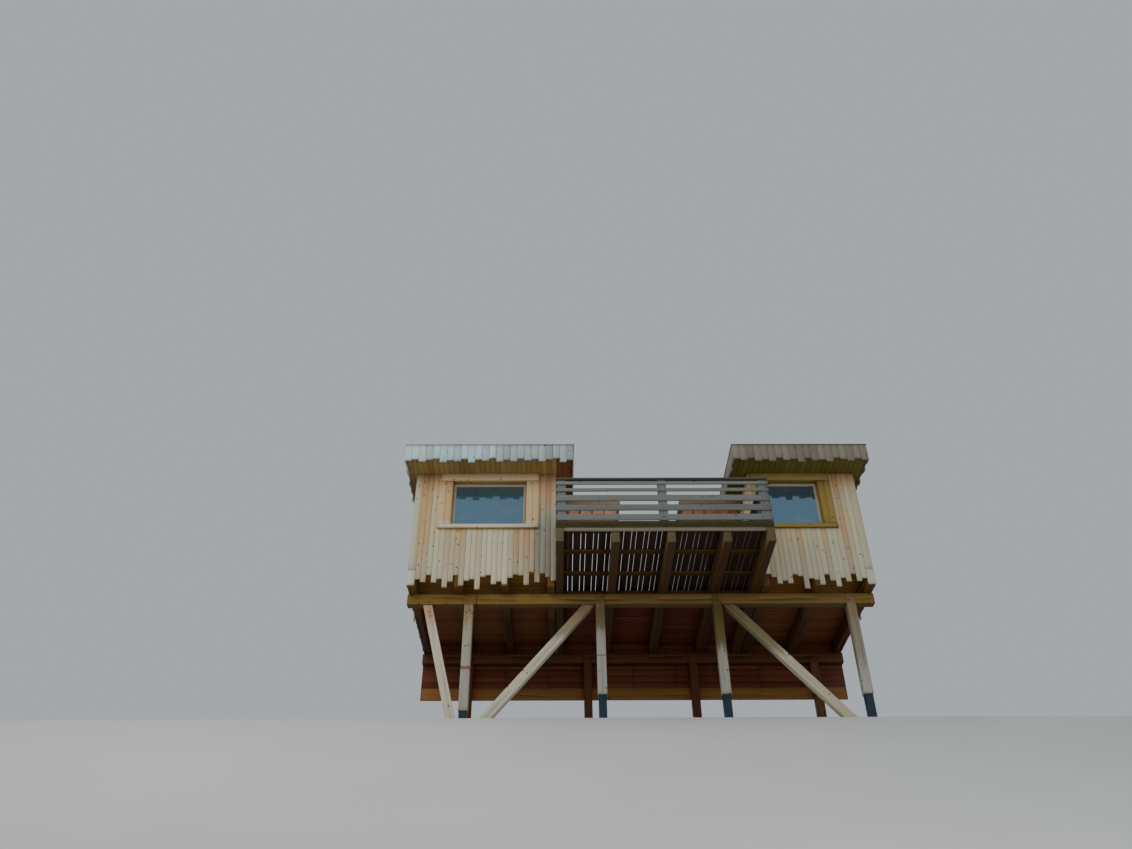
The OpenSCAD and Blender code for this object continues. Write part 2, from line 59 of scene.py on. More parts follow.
def paint(screen: Screen) -> Triple:
    """Turn a screen colour into the linear one that shaders take.

    Args:
        screen: Red, green and blue from 0 to 255.

    Returns:
        The linear colour.
    """
    share = np.array(screen) / 255
    linear = np.where(share <= 0.04045, share / 12.92, ((share + 0.055) / 1.055) ** 2.4)
    return tuple(float(x) for x in linear)


# Shader values and trees


Operand: TypeAlias = "Value | float"


class Value:
    """A number that varies over a surface. Arithmetic on it adds Math nodes to its tree."""

    def __init__(self, tree: "Tree", socket: bpy.types.NodeSocket) -> None:
        """Keep the tree and the socket that gives the number."""
        self.tree = tree
        self.socket = socket

    def __add__(self, other: Operand) -> "Value":
        """Sum."""
        return self.tree.math("ADD", self, other)

    def __radd__(self, other: Operand) -> "Value":
        """Sum, reflected."""
        return self.tree.math("ADD", other, self)

    def __sub__(self, other: Operand) -> "Value":
        """Difference."""
        return self.tree.math("SUBTRACT", self, other)

    def __rsub__(self, other: Operand) -> "Value":
        """Difference, reflected, so that 1 - mask works."""
        return self.tree.math("SUBTRACT", other, self)

    def __mul__(self, other: Operand) -> "Value":
        """Product."""
        return self.tree.math("MULTIPLY", self, other)

    def __rmul__(self, other: Operand) -> "Value":
        """Product, reflected."""
        return self.tree.math("MULTIPLY", other, self)

    def __truediv__(self, other: Operand) -> "Value":
        """Quotient."""
        return self.tree.math("DIVIDE", self, other)

    def __rtruediv__(self, other: Operand) -> "Value":
        """Quotient, reflected."""
        return self.tree.math("DIVIDE", other, self)

    def __pow__(self, other: Operand) -> "Value":
        """Power."""
        return self.tree.math("POWER", self, other)

    def __rpow__(self, other: Operand) -> "Value":
        """Power, reflected."""
        return self.tree.math("POWER", other, self)

    def fraction(self) -> "Value":
        """The part after the point."""
        return self.tree.math("FRACT", self)

    def whole(self) -> "Value":
        """The part before the point."""
        return self.tree.math("FLOOR", self)

    def size(self) -> "Value":
        """The number without its sign."""
        return self.tree.math("ABSOLUTE", self)

    def root(self) -> "Value":
        """Square root."""
        return self.tree.math("SQRT", self)

    def over(self, limit: Operand) -> "Value":
        """One where the number is over a limit, else zero."""
        return self.tree.math("GREATER_THAN", self, limit)

    def step(self, low: Operand, high: Operand) -> "Value":
        """A smooth step.

        Args:
            low: Where the step is still zero.
            high: Where it has reached one. It may be the lower of the two.

        Returns:
            A value from 0 to 1.
        """
        node = self.tree.add("ShaderNodeMapRange", {"interpolation_type": "SMOOTHSTEP"},
                             {"Value": self, "From Min": low, "From Max": high})
        return Value(self.tree, node.outputs["Result"])


class Tree:
    """The node tree of one material."""

    RELIEF_SHOWN = 0.6

    def __init__(self, name: str) -> None:
        """Start an empty material.

        Args:
            name: Its name.
        """
        self.material = bpy.data.materials.new(name)
        self.material.use_nodes = True
        self.nodes = self.material.node_tree.nodes
        self.links = self.material.node_tree.links
        self.nodes.clear()

    def add(self, kind: str, settings: dict | None = None, inputs: dict | None = None) -> bpy.types.Node:
        """Add one node.

        Args:
            kind: The node's type.
            settings: Its properties, which are set first.
            inputs: A number, colour or Value for each input, by name or index.

        Returns:
            The node.
        """
        node = self.nodes.new(kind)
        for key, value in (settings or {}).items():
            setattr(node, key, value)
        for key, value in (inputs or {}).items():
            if isinstance(value, Value):
                self.links.new(value.socket, node.inputs[key])
            else:
                node.inputs[key].default_value = value
        return node

    def math(self, operation: str, *values: Value | float) -> Value:
        """Add a Math node for an operation on numbers and values."""
        node = self.add("ShaderNodeMath", {"operation": operation}, dict(enumerate(values)))
        return Value(self, node.outputs[0])

    def split(self, vector: Value) -> list[Value]:
        """The three parts of a vector."""
        node = self.add("ShaderNodeSeparateXYZ", None, {"Vector": vector})
        return [Value(self, output) for output in node.outputs]

    def join(self, *parts: Value | float) -> Value:
        """A vector from its three parts."""
        return Value(self, self.add("ShaderNodeCombineXYZ", None, dict(enumerate(parts))).outputs[0])

    def stretch(self, vector: Value, scale: Triple) -> Value:
        """A vector with each part multiplied by its own factor."""
        node = self.add("ShaderNodeVectorMath", {"operation": "MULTIPLY"}, {0: vector, 1: scale})
        return Value(self, node.outputs["Vector"])

    def shade(self, colour: Value, amount: Value | float) -> Value:
        """A colour made lighter or darker by a factor."""
        node = self.add("ShaderNodeVectorMath", {"operation": "SCALE"}, {0: colour, "Scale": amount})
        return Value(self, node.outputs["Vector"])

    def noise(self, vector: Value, scale: Triple, detail: float = 2.0) -> Value:
        """Soft noise.

        Args:
            vector: Where to read it, in metres.
            scale: Waves in a metre along each axis.
            detail: How many finer layers it has.

        Returns:
            A value round 0.5.
        """
        node = self.add("ShaderNodeTexNoise", {"noise_dimensions": "3D"},
                        {"Vector": self.stretch(vector, scale), "Scale": 1.0, "Detail": detail})
        return Value(self, node.outputs["Fac"])

    def mix(self, factor: Value | float, first: Value | Triple, second: Value | Triple) -> Value:
        """Blend two colours.

        Args:
            factor: The share of the second colour.
            first: A linear colour or a value that carries one.
            second: The other one.

        Returns:
            The blended colour.
        """
        ends = [c if isinstance(c, Value) else (*c, 1.0) for c in (first, second)]
        node = self.add("ShaderNodeMix", {"data_type": "RGBA"}, {0: factor, 6: ends[0], 7: ends[1]})
        return Value(self, node.outputs[2])

    def place(self) -> Value:
        """Object coordinates, which are metres in the row frame."""
        return Value(self, self.add("ShaderNodeTexCoord").outputs["Object"])

    def attribute(self, name: str) -> Value:
        """A vector that the mesh carries under a name."""
        return Value(self, self.add("ShaderNodeAttribute", {"attribute_name": name}).outputs["Vector"])

    def finish(self, inputs: dict, height: Value | None = None,
               relief: float = 0.001) -> bpy.types.Material:
        """Close the tree with one Principled shader.

        Args:
            inputs: The shader's inputs.
            height: Relief of the surface from 0 to 1, if it has one.
            relief: How many metres that relief is.

        Returns:
            The material.
        """
        if height is not None:
            bump = self.add("ShaderNodeBump", None,
                            {"Height": height, "Distance": relief, "Strength": self.RELIEF_SHOWN})
            inputs = {**inputs, "Normal": Value(self, bump.outputs["Normal"])}
        shader = self.add("ShaderNodeBsdfPrincipled", None, inputs)
        output = self.add("ShaderNodeOutputMaterial")
        self.links.new(shader.outputs["BSDF"], output.inputs["Surface"])
        return self.material


# Finishes

DARK_KNOT = (66, 40, 26)
GREY_KNOT = (62, 58, 52)
MOSS = (58, 60, 26)
SPOT = 0.03


class Grain(Enum):
    """Where a wood finish reads its grain from."""

    BOARD = "board"
    UPRIGHT = "upright"


@dataclass(frozen=True)
class Fade:
    """A change of colour across the house along one axis, such as moss at the deck's front edge.
    Some fades are painted shade.
    """

    axis: int
    start: float
    end: float
    colour: Screen
    amount: float
    spread: float = 0.3


@dataclass(frozen=True)
class Mark:
    """A band of colour on a timber, seen from the front, no further back than y = back.
    Some are paint marks, wear and knots; some are painted shade.
    """

    x: float
    z: float
    width: float
    height: float
    colour: Screen
    amount: float = 0.7
    back: float = 0.0


@dataclass(frozen=True)
class Wood:
    """Sawn timber: growth rings, streaks, knots, cracks and a weathered skin.

    Colours are screen colours. under is what a face that looks down is multiplied by: painted
    shade on the undersides.
    """

    name: str
    young: Screen
    late: Screen
    other: Screen
    grey: Screen
    knot: Screen = DARK_KNOT
    weather: float = 0.4
    ring: float = 0.011
    figure: float = 0.45
    knots: float = 0.3
    checks: float = 0.35
    unlike: float = 0.30
    lean: float = 0.6
    rough: float = 0.72
    end_dirt: float = 0.35
    grain: Grain = Grain.BOARD
    lining_w: float = 0.12
    under: Triple | None = None
    fades: tuple[Fade, ...] = ()
    marks: tuple[Mark, ...] = ()

    KNOT_CELL = 0.17
    KNOT_R = 0.014
    HALO = 0.055
    WARP = (0.9, 5.0, 5.0)
    STREAK = (1.6, 46.0, 46.0)
    FIBRE = (11.0, 320.0, 320.0)
    PATCH = (1.7, 1.7, 1.3)
    CRACK = (1.1, 60.0, 60.0)
    BEND_ACROSS = 0.03
    BEND_DEEP = 0.02
    KNOT_BEND = 0.01
    KNOT_RINGS = 0.012
    LATE_SHARP = 2.5
    GLOSS = 0.3
    RELIEF = 0.0016

    def coordinates(self, tree: Tree) -> tuple[Value, list[Value]]:
        """Grain coordinates and what a board knows about itself.

        Args:
            tree: The material's tree.

        Returns:
            The grain vector in metres, along the board first, and three values: two random numbers
            of the board and the distance to its nearest end.
        """
        if self.grain is Grain.BOARD:
            return tree.attribute("grain"), tree.split(tree.attribute("board"))
        x, y, z = tree.split(tree.place())
        across = (x + y) / self.lining_w
        pick = tree.add("ShaderNodeTexWhiteNoise", {"noise_dimensions": "1D"}, {"W": across.whole()})
        tone, second, _ = tree.split(Value(tree, pick.outputs["Color"]))
        grain = tree.join(z + 3.0 * tone, (across.fraction() - 0.5) * self.lining_w, 0.05)
        edge = (0.5 - (across.fraction() - 0.5).size()) * self.lining_w
        return grain, [tone, second, edge]

    def material(self) -> bpy.types.Material:
        """Make the wood.

        The distance from the heart of the tree, bent by noise and round the knots, is divided by the
        ring distance, and its fraction is dark where the late wood is. Streaks, a grey weathered
        skin, fades, marks, cracks, knots and dirty ends then lie over that; some of the fades and
        marks are painted shade. A face that looks down is multiplied by the colour given for it,
        which paints shade on the undersides.

        Returns:
            The material.
        """
        tree = Tree(self.name)
        grain, (tone, second, edge) = self.coordinates(tree)
        along, across, depth = tree.split(grain)
        place = tree.place()
        cells = tree.add("ShaderNodeTexVoronoi", {"voronoi_dimensions": "2D"},
                         {"Vector": tree.join(along, across + depth, 0.0), "Scale": 1 / self.KNOT_CELL})
        pick, girth, _ = tree.split(Value(tree, cells.outputs["Color"]))
        near = Value(tree, cells.outputs["Distance"]) * self.KNOT_CELL
        there = pick.over(1 - self.knots)
        knot_r = (girth + 0.5) * self.KNOT_R
        knot = there * near.step(knot_r * 1.15, knot_r * 0.6)
        halo = there * near.step(self.HALO, 0.0)

        warp = tree.noise(grain, self.WARP) - 0.5
        side = across + warp * self.BEND_ACROSS + halo * self.KNOT_BEND
        back = depth + warp * self.BEND_DEEP
        heart = (side * side + back * back).root() + halo * self.KNOT_RINGS
        rings = (heart / self.ring).fraction() ** self.LATE_SHARP
        streak = tree.noise(grain, self.STREAK, 3.0)
        fibre = tree.noise(grain, self.FIBRE)
        patch = tree.noise(place, self.PATCH, 4.0)
        line = (rings * self.figure + (streak - 0.5) * 0.9).step(0.0, 0.75)

        young, late, other = paint(self.young), paint(self.late), paint(self.other)
        grey, dark = paint(self.grey), paint(self.knot)
        colour = tree.mix(line, young, late)
        colour = tree.mix((tone + (patch - 0.5) * 0.35).step(0.35, 0.95) * self.lean, colour, other)
        skin = streak * 0.9 + patch * 0.9 + (second - 0.5) * 0.7 + (self.weather - 1.15)
        colour = tree.mix(skin.step(-0.25, 0.5) * 0.9, colour, grey)
        colour = self.fade(tree, place, patch, streak, colour)
        colour = self.mark(tree, place, streak, colour)
        colour = tree.shade(colour, second * self.unlike + fibre * 0.22 + (0.89 - self.unlike / 2))
        crack = tree.noise(grain, self.CRACK, 1.0).step(0.66, 0.74) * self.checks
        colour = tree.mix((knot * 0.85 + crack).step(0.0, 1.0), colour, dark)
        colour = tree.mix(edge.step(0.05, 0.0) * self.end_dirt, colour, dark)
        # Painted shade: a face that looks down is multiplied by under, so undersides come out dark.
        if self.under:
            down = tree.split(tree.attribute("facing"))[2].step(-0.3, -0.8)
            colour = tree.mix(down, colour, tree.stretch(colour, self.under))

        height = rings * 0.2 + fibre * 0.45 + streak * 0.35 - crack * 0.9 - knot * 0.3
        return tree.finish({"Base Color": colour, "Roughness": fibre * 0.2 + (self.rough - 0.1),
                            "Specular IOR Level": self.GLOSS}, height, self.RELIEF)

    def fade(self, tree: Tree, place: Value, patch: Value, streak: Value, colour: Value) -> Value:
        """Lay each fade over the colour, with an edge broken up by the wood's own streaks.

        Args:
            tree: The material's tree.
            place: Object coordinates.
            patch: Broad noise.
            streak: Noise along the grain.
            colour: The colour so far.

        Returns:
            The colour with the fades.
        """
        parts = tree.split(place)
        for fade in self.fades:
            where = parts[fade.axis] + (patch + streak - 1.0) * fade.spread
            colour = tree.mix(where.step(fade.start, fade.end) * fade.amount, colour, paint(fade.colour))
        return colour

    def mark(self, tree: Tree, place: Value, streak: Value, colour: Value) -> Value:
        """Lay each mark over the colour, a soft box in front view.

        Args:
            tree: The material's tree.
            place: Object coordinates.
            streak: Noise along the grain, which breaks up the box's lower and upper edge.
            colour: The colour so far.

        Returns:
            The colour with the marks.
        """
        x, y, z = tree.split(place)
        for mark in self.marks:
            beside = (x - mark.x).size().step(mark.width * 0.55, mark.width * 0.45)
            level = (z - mark.z + (streak - 0.5) * mark.height).size()
            band = beside * level.step(mark.height * 0.65, mark.height * 0.35)
            band = band * y.step(mark.back, mark.back - 0.05)
            colour = tree.mix(band * mark.amount, colour, paint(mark.colour))
        return colour


@dataclass(frozen=True)
class Metal:
    """Coated or bare metal with scuffs and specks of rust."""

    name: str
    coat: Screen
    bare: Screen
    worn: float = 0.3
    metallic: float = 0.2

    ROUGH = 0.5
    BROAD = (6.0, 6.0, 6.0)
    GRIT = (60.0, 60.0, 60.0)
    RELIEF = 0.0006

    def material(self) -> bpy.types.Material:
        """Make the metal: noise at two scales wears the coat through to what lies under it.

        Returns:
            The material.
        """
        tree = Tree(self.name)
        place = tree.place()
        broad = tree.noise(place, self.BROAD, 4.0)
        fine = tree.noise(place, self.GRIT, 3.0)
        wear = (broad + fine * 0.6).step(1.05 - self.worn, 1.2 - self.worn)
        colour = tree.shade(tree.mix(wear, paint(self.coat), paint(self.bare)), fine * 0.3 + 0.85)
        return tree.finish({"Base Color": colour, "Roughness": wear * 0.25 + (fine * 0.1 + self.ROUGH),
                            "Metallic": self.metallic}, fine - wear * 0.5, self.RELIEF)


@dataclass(frozen=True)
class Sheet:
    """Dark roof sheet with mineral grit, stains and lichen."""

    name: str
    dark: Screen
    light: Screen
    lichen: Screen

    GRIT = (140.0, 140.0, 140.0)
    STAIN = (1.3, 2.2, 2.0)
    CELLS = 3.2

    def material(self) -> bpy.types.Material:
        """Make the sheet: fine grit, broad stains and lichen in a quarter of the cells of a pattern.

        Returns:
            The material.
        """
        tree = Tree(self.name)
        place = tree.place()
        grit = tree.noise(place, self.GRIT)
        stain = tree.noise(place, self.STAIN, 5.0)
        cells = tree.add("ShaderNodeTexVoronoi", {"voronoi_dimensions": "3D"},
                         {"Vector": place, "Scale": self.CELLS})
        pick = tree.split(Value(tree, cells.outputs["Color"]))[0]
        near = Value(tree, cells.outputs["Distance"]) + (grit - 0.5) * 0.3 + (stain - 0.5) * 1.2
        lichen = pick.over(0.75) * near.step(0.3, 0.0)
        colour = tree.mix(stain.step(0.35, 0.75), paint(self.dark), paint(self.light))
        colour = tree.mix(lichen * 0.35, colour, paint(self.lichen))
        colour = tree.shade(colour, grit * 0.5 + 0.75)
        return tree.finish({"Base Color": colour, "Roughness": grit * 0.15 + 0.75}, grit)


@dataclass(frozen=True)
class Glass:
    """Window glass that mirrors what is before it and lets a little of the room show."""

    name: str
    tint: Screen

    DUST = (0.6, 0.62, 0.6)
    STREAKS = (3.0, 3.0, 9.0)
    MIRROR = 0.75
    CLEAR = 0.2

    def material(self) -> bpy.types.Material:
        """Make the glass: a glossy pane with faint streaks of dust.

        Returns:
            The material.
        """
        tree = Tree(self.name)
        dust = tree.noise(tree.place(), self.STREAKS, 4.0)
        colour = tree.mix(dust.step(0.5, 0.9) * 0.25, paint(self.tint), self.DUST)
        return tree.finish({"Base Color": colour, "Metallic": self.MIRROR, "Alpha": 1 - self.CLEAR,
                            "Roughness": dust.step(0.4, 0.9) * 0.12 + 0.03})


@dataclass(frozen=True)
class Floor:
    """The pale plain ground of the studio, in two linear colours."""

    name: str
    colour: Triple
    shade: Triple

    WAVES = (0.5, 0.5, 0.5)

    def material(self) -> bpy.types.Material:
        """Make a matt pale floor with a breath of unevenness.

        Returns:
            The material.
        """
        tree = Tree(self.name)
        soft = tree.noise(tree.place(), self.WAVES)
        return tree.finish({"Base Color": tree.mix(soft.step(0.3, 0.7), self.colour, self.shade),
                            "Roughness": 0.9})


def spot(x: float, z: float) -> Mark:
    """A round knot that shows at one place of the front."""
    return Mark(x, z, SPOT, SPOT, DARK_KNOT, 0.9)


# Where a finish has under, the faces of its timbers that look down are darkened by it: painted shade.
CLADDING = Wood("cladding_boards", (214, 184, 134), (178, 136, 88), (216, 162, 124), (184, 184, 156),
                weather=0.45, knots=0.32, end_dirt=0.25, unlike=0.42, lean=0.7,
                fades=(Fade(2, 4.52, 5.37, (214, 156, 104), 0.5),
                       Fade(2, 3.97, 2.87, (190, 188, 168), 0.6)),
                marks=(Mark(-1.90, 3.6, 0.48, 1.8, (138, 138, 124), 0.85, -1.05),
                       Mark(-1.92, 4.95, 0.50, 0.9, (172, 132, 102), 0.6, -1.05),
                       Mark(-4.69, 4.1, 0.24, 3.2, (196, 200, 182), 0.75, -1.05)))
# Painted shade: the mark at x 3.3 darkens the right cabin's casings.
CASING = Wood("casing_boards", (212, 178, 126), (184, 142, 92), (208, 166, 116), (196, 180, 146),
              weather=0.25, knots=0.3, under=(0.6, 0.6, 0.42),
              marks=(Mark(3.3, 4.4, 2.8, 3.2, (136, 116, 42), 0.8, -1.0),
                     Mark(-3.13, 4.07, 2.1, 0.16, (214, 204, 184), 0.8, -1.0)))
# Painted shade: the fade past x 1.9 darkens the right cabin's fascia, which stands in shade.
FASCIA = Wood("fascia_boards", (168, 186, 184), (132, 148, 146), (162, 166, 150), (182, 206, 210),
              GREY_KNOT, weather=0.75, knots=0.25, checks=0.5,
              fades=(Fade(0, -2.98, -2.97, (150, 158, 152), 0.6, 0.0),
                     Fade(0, 1.9, 2.0, (124, 110, 86), 0.8, 0.0)))
# Painted shade: the fade past x 1.9 darkens the right cabin's soffit.
SOFFIT = Wood("soffit_boards", (152, 126, 72), (118, 92, 46), (134, 100, 56), (138, 118, 80), weather=0.1,
              knots=0.15, rough=0.6, fades=(Fade(0, 1.9, 2.0, (98, 90, 26), 0.85, 0.0),),
              marks=(Mark(-1.5, 5.4, 0.38, 3.0, (96, 48, 32), 0.85),))
# The beam's ochre, darker than the posts, is partly its own tone and partly painted shade from the cabins'
# overhang.
BEAM = Wood("beam_timber", (134, 106, 50), (108, 80, 34), (124, 108, 52), (118, 104, 69), weather=0.2,
            knots=0.2, unlike=0.15, under=(0.5, 0.47, 0.42), marks=(spot(-4.224, 2.462),))
# Painted shade: the fade from z 1.65 to 2.3 and the one above z 2.42 turn the posts' tops ochre where the
# beam and the cabins' overhang shade them. The mark at x 4.2 is painted leaf shade on that post.
POST = Wood("post_timber", (170, 160, 140), (146, 134, 112), (176, 152, 128), (166, 165, 158), weather=0.6,
            knots=0.4, checks=0.6, unlike=0.25, fades=(Fade(2, 1.65, 2.3, (150, 120, 84), 0.75, 0.15),
                                                       Fade(2, 2.41, 2.43, (128, 100, 50), 0.9, 0.02)),
            marks=(Mark(-0.82, 2.12, 0.26, 0.58, (104, 96, 62), 0.7),
                   Mark(-3.45, 1.083, 0.3, 0.07, (120, 62, 44), 0.75),
                   Mark(-0.85, 1.33, 0.3, 0.02, (84, 66, 48), 0.8),
                   Mark(1.5, 2.05, 0.34, 1.1, (98, 88, 32), 0.9),
                   Mark(4.2, 1.9, 0.4, 1.5, (128, 116, 84), 0.6), spot(-3.477, 2.251), spot(-3.400, 2.295),
                   spot(-3.456, 1.526), spot(-0.756, 0.664)))
# Painted shade: the fade from z 1.8 to 2.3 warms the braces' tops where the beam shades them.
BRACE = Wood("brace_timber", (194, 184, 154), (162, 148, 116), (198, 170, 132), (196, 192, 172),
             weather=0.6, knots=0.3, checks=0.5, unlike=0.2,
             fades=(Fade(2, 1.8, 2.3, (178, 130, 100), 0.7, 0.2),),
             marks=(Mark(-1.45, 2.1, 1.0, 0.7, (120, 102, 70), 0.7),
                    Mark(2.1, 2.0, 1.3, 1.2, (112, 104, 62), 0.85), spot(-2.325, 1.034),
                    spot(-2.248, 0.973), spot(-4.21, 2.259), spot(-4.183, 2.171)))
BACK_TIMBER = Wood("back_timber", (104, 62, 36), (80, 46, 26), (112, 66, 44), (98, 74, 52), weather=0.15,
                   knots=0.2, under=(0.6, 0.55, 0.5))
BEARER = Wood("bearer_timber", (128, 84, 44), (98, 60, 30), (134, 78, 40), (116, 96, 60), weather=0.15,
              knots=0.25, under=(0.3, 0.27, 0.24), fades=(Fade(1, -2.5, -2.95, (100, 98, 68), 0.85, 0.1),))
JOIST = Wood("joist_timber", (112, 84, 42), (84, 60, 28), (118, 82, 40), (102, 92, 52), weather=0.15,
             knots=0.2, under=(0.42, 0.38, 0.34), fades=(Fade(1, -2.93, -2.955, MOSS, 0.95, 0.0),))
CABIN_BEARER = Wood("cabin_bearer_timber", (96, 56, 32), (72, 40, 24), (102, 60, 34), (88, 62, 42),
                    weather=0.15, knots=0.2, under=(0.55, 0.5, 0.45),
                    fades=(Fade(1, 0.3, -0.1, (122, 90, 34), 0.75, 0.1),))
RIM = Wood("rim_timber", (122, 110, 88), (102, 90, 66), (116, 100, 76), (116, 110, 94), weather=0.55,
           knots=0.2)
DECK = Wood("deck_boards", (134, 116, 96), (106, 88, 70), (126, 100, 76), (140, 132, 120), weather=0.4,
            knots=0.25, unlike=0.35, under=(0.135, 0.067, 0.037),
            fades=(Fade(1, -2.93, -2.955, MOSS, 0.95, 0.0),))
# Painted shade: the fade above z 4.02 darkens the handrail and the top edge of the board under it, for the
# handrail's shaded underside and the shadow it casts.
RAIL = Wood("rail_boards", (106, 106, 100), (84, 84, 78), (104, 98, 86), (116, 119, 116), GREY_KNOT,
            weather=0.75, knots=0.25, checks=0.5, fades=(Fade(2, 3.112, 3.096, MOSS, 0.95, 0.0),
                                                         Fade(2, 4.02, 4.035, (88, 82, 70), 0.75, 0.0)))
SKIRT = Wood("skirt_boards", (104, 52, 30), (76, 36, 22), (114, 60, 34), (92, 57, 40), weather=0.12,
             knots=0.2, unlike=0.4)
SKIRT_RAIL = Wood("skirt_rail_timber", (158, 112, 60), (124, 84, 42), (150, 96, 50), (138, 110, 72),
                  weather=0.2)
FLOOR = Wood("floor_boards", (122, 66, 36), (92, 48, 28), (128, 76, 38), (106, 74, 48), weather=0.15,
             knots=0.25, fades=(Fade(1, 0.3, -0.1, (134, 96, 20), 0.75, 0.1),))
CANOPY = Wood("canopy_rims", (134, 108, 84), (110, 86, 64), (128, 100, 76), (124, 110, 92), weather=0.15)
# Painted light: the canopies' joists and boards are much paler than their rims, for light bounced up under
# the canopies.
CANOPY_BOARD_PAINTED_LIGHT = Wood("canopy_boards_painted_light", (244, 196, 154), (216, 156, 112), (236, 174, 130), (222, 182, 144),
                    weather=0.05, knots=0.35)
# A dark sheet under the deck that stands in for the shade there.
DECK_SHADE_LINING = Wood("deck_shade_lining_boards", (104, 48, 32), (78, 34, 24), (112, 56, 34), (92, 56, 42),
                  weather=0.12, knots=0.2, unlike=0.4)
DIRT = Wood("packed_dirt", MOSS, (44, 44, 22), (70, 64, 34), (62, 60, 36), weather=0.2, knots=0.0,
            rough=0.9)
LINING = Wood("wall_lining", (198, 160, 104), (170, 126, 74), (190, 142, 90), (190, 160, 112), weather=0.1,
              grain=Grain.UPRIGHT, end_dirt=0.9)
FRAME = Wood("window_frame_timber", (176, 158, 132), (148, 130, 106), (168, 148, 120), (164, 154, 138),
             weather=0.2, knots=0.05, rough=0.5)
SHOE = Metal("shoe_coating", (32, 56, 68), (72, 64, 54), worn=0.15)
NAIL = Metal("nail_steel", (92, 84, 76), (106, 66, 42), worn=0.4, metallic=0.7)
COVER = Sheet("roof_sheet", (52, 54, 54), (76, 78, 74), (132, 136, 108))
PANE = Glass("window_glass", (120, 156, 178))
GROUND = Floor("studio_ground", (0.72, 0.72, 0.70), (0.69, 0.69, 0.67))


Finish = Wood | Metal | Sheet | Glass | Floor


class Paintbox:
    """Makes each finish once."""

    made: dict[str, bpy.types.Material] = {}

    @classmethod
    def get(cls, finish: Finish) -> bpy.types.Material:
        """The material of a finish.

        Args:
            finish: The finish.

        Returns:
            Its material, which is made at the first call.
        """
        if finish.name not in cls.made:
            cls.made[finish.name] = finish.material()
        return cls.made[finish.name]


# Reading the frame


def corners(node: str) -> tuple[np.ndarray, np.ndarray]:
    """Vertices and triangles of a CAD node.

    Args:
        node: The node's name.

    Returns:
        Points as (V, 3) and corner indices as (T, 3).
    """
    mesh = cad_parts[node].data
    points = np.empty(len(mesh.vertices) * 3, np.float32)
    mesh.vertices.foreach_get("co", points)
    mesh.calc_loop_triangles()
    triangles = np.empty(len(mesh.loop_triangles) * 3, np.int32)
    mesh.loop_triangles.foreach_get("vertices", triangles)
    return points.reshape(-1, 3).astype(float), triangles.reshape(-1, 3)


def solids(node: str) -> np.ndarray:
    """Boxes of the separate solids in a CAD node.

    Vertices at one place share a label, and each triangle hands its lowest label to its corners
    until no label changes. The box of each label left is one solid's.

    Args:
        node: The node's name.

    Returns:
        Lowest and highest corners as (N, 2, 3), in order of their lowest corner.
    """
    points, triangles = corners(node)
    _, shared = np.unique(np.round(points, 5), axis=0, return_inverse=True)
    shared = shared.ravel()
    corner = shared[triangles]
    label = np.arange(shared.max() + 1)
    while True:
        lowest = label.copy()
        np.minimum.at(lowest, corner.ravel(), np.repeat(label[corner].min(axis=1), 3))
        lowest = lowest[lowest]
        if (lowest == label).all():
            break
        label = lowest
    names, group = np.unique(label[shared], return_inverse=True)
    group = group.ravel()
    low = np.full((len(names), 3), np.inf)
    high = np.full((len(names), 3), -np.inf)
    np.minimum.at(low, group, points)
    np.maximum.at(high, group, points)
    boxes = np.stack([low, high], axis=1)
    return boxes[np.lexsort(np.round(low, 4).T[::-1])]


def crossings(node: str, start: np.ndarray, axis: int) -> list[float]:
    """Where a straight line along an axis passes through the surface of a CAD node.

    Args:
        node: The node's name.
        start: A point of the line, outside the node.
        axis: The axis that the line follows, upwards.

    Returns:
        The places on that axis, lowest first.
    """
    way = Vector(np.eye(3)[axis])
    point = Vector(start)
    found = []
    while True:
        hit, place, _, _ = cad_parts[node].ray_cast(point, way)
        if not hit:
            return found
        found.append(place[axis])
        point = place + way * (2 * TINY)


# Making meshes


def numbered(shape: tuple[int, ...]) -> np.ndarray:
    """Vertex numbers of points that lie in an array of this shape."""
    return np.arange(math.prod(shape)).reshape(shape)


def tube_faces(index: np.ndarray) -> np.ndarray:
    """Faces between neighbouring rings, each ring closed.

    Args:
        index: Vertex numbers as (N, R, P), N tubes of R rings of P points.

    Returns:
        Corner indices as (F, 4).
    """
    turned = np.roll(index, -1, axis=2)
    corner = [index[:, :-1], turned[:, :-1], turned[:, 1:], index[:, 1:]]
    return np.stack(corner, axis=-1).reshape(-1, 4)


def grid_faces(index: np.ndarray) -> np.ndarray:
    """Faces of an open grid of vertex numbers (A, B), as corner indices (F, 4)."""
    corner = [index[:-1, :-1], index[1:, :-1], index[1:, 1:], index[:-1, 1:]]
    return np.stack(corner, axis=-1).reshape(-1, 4)


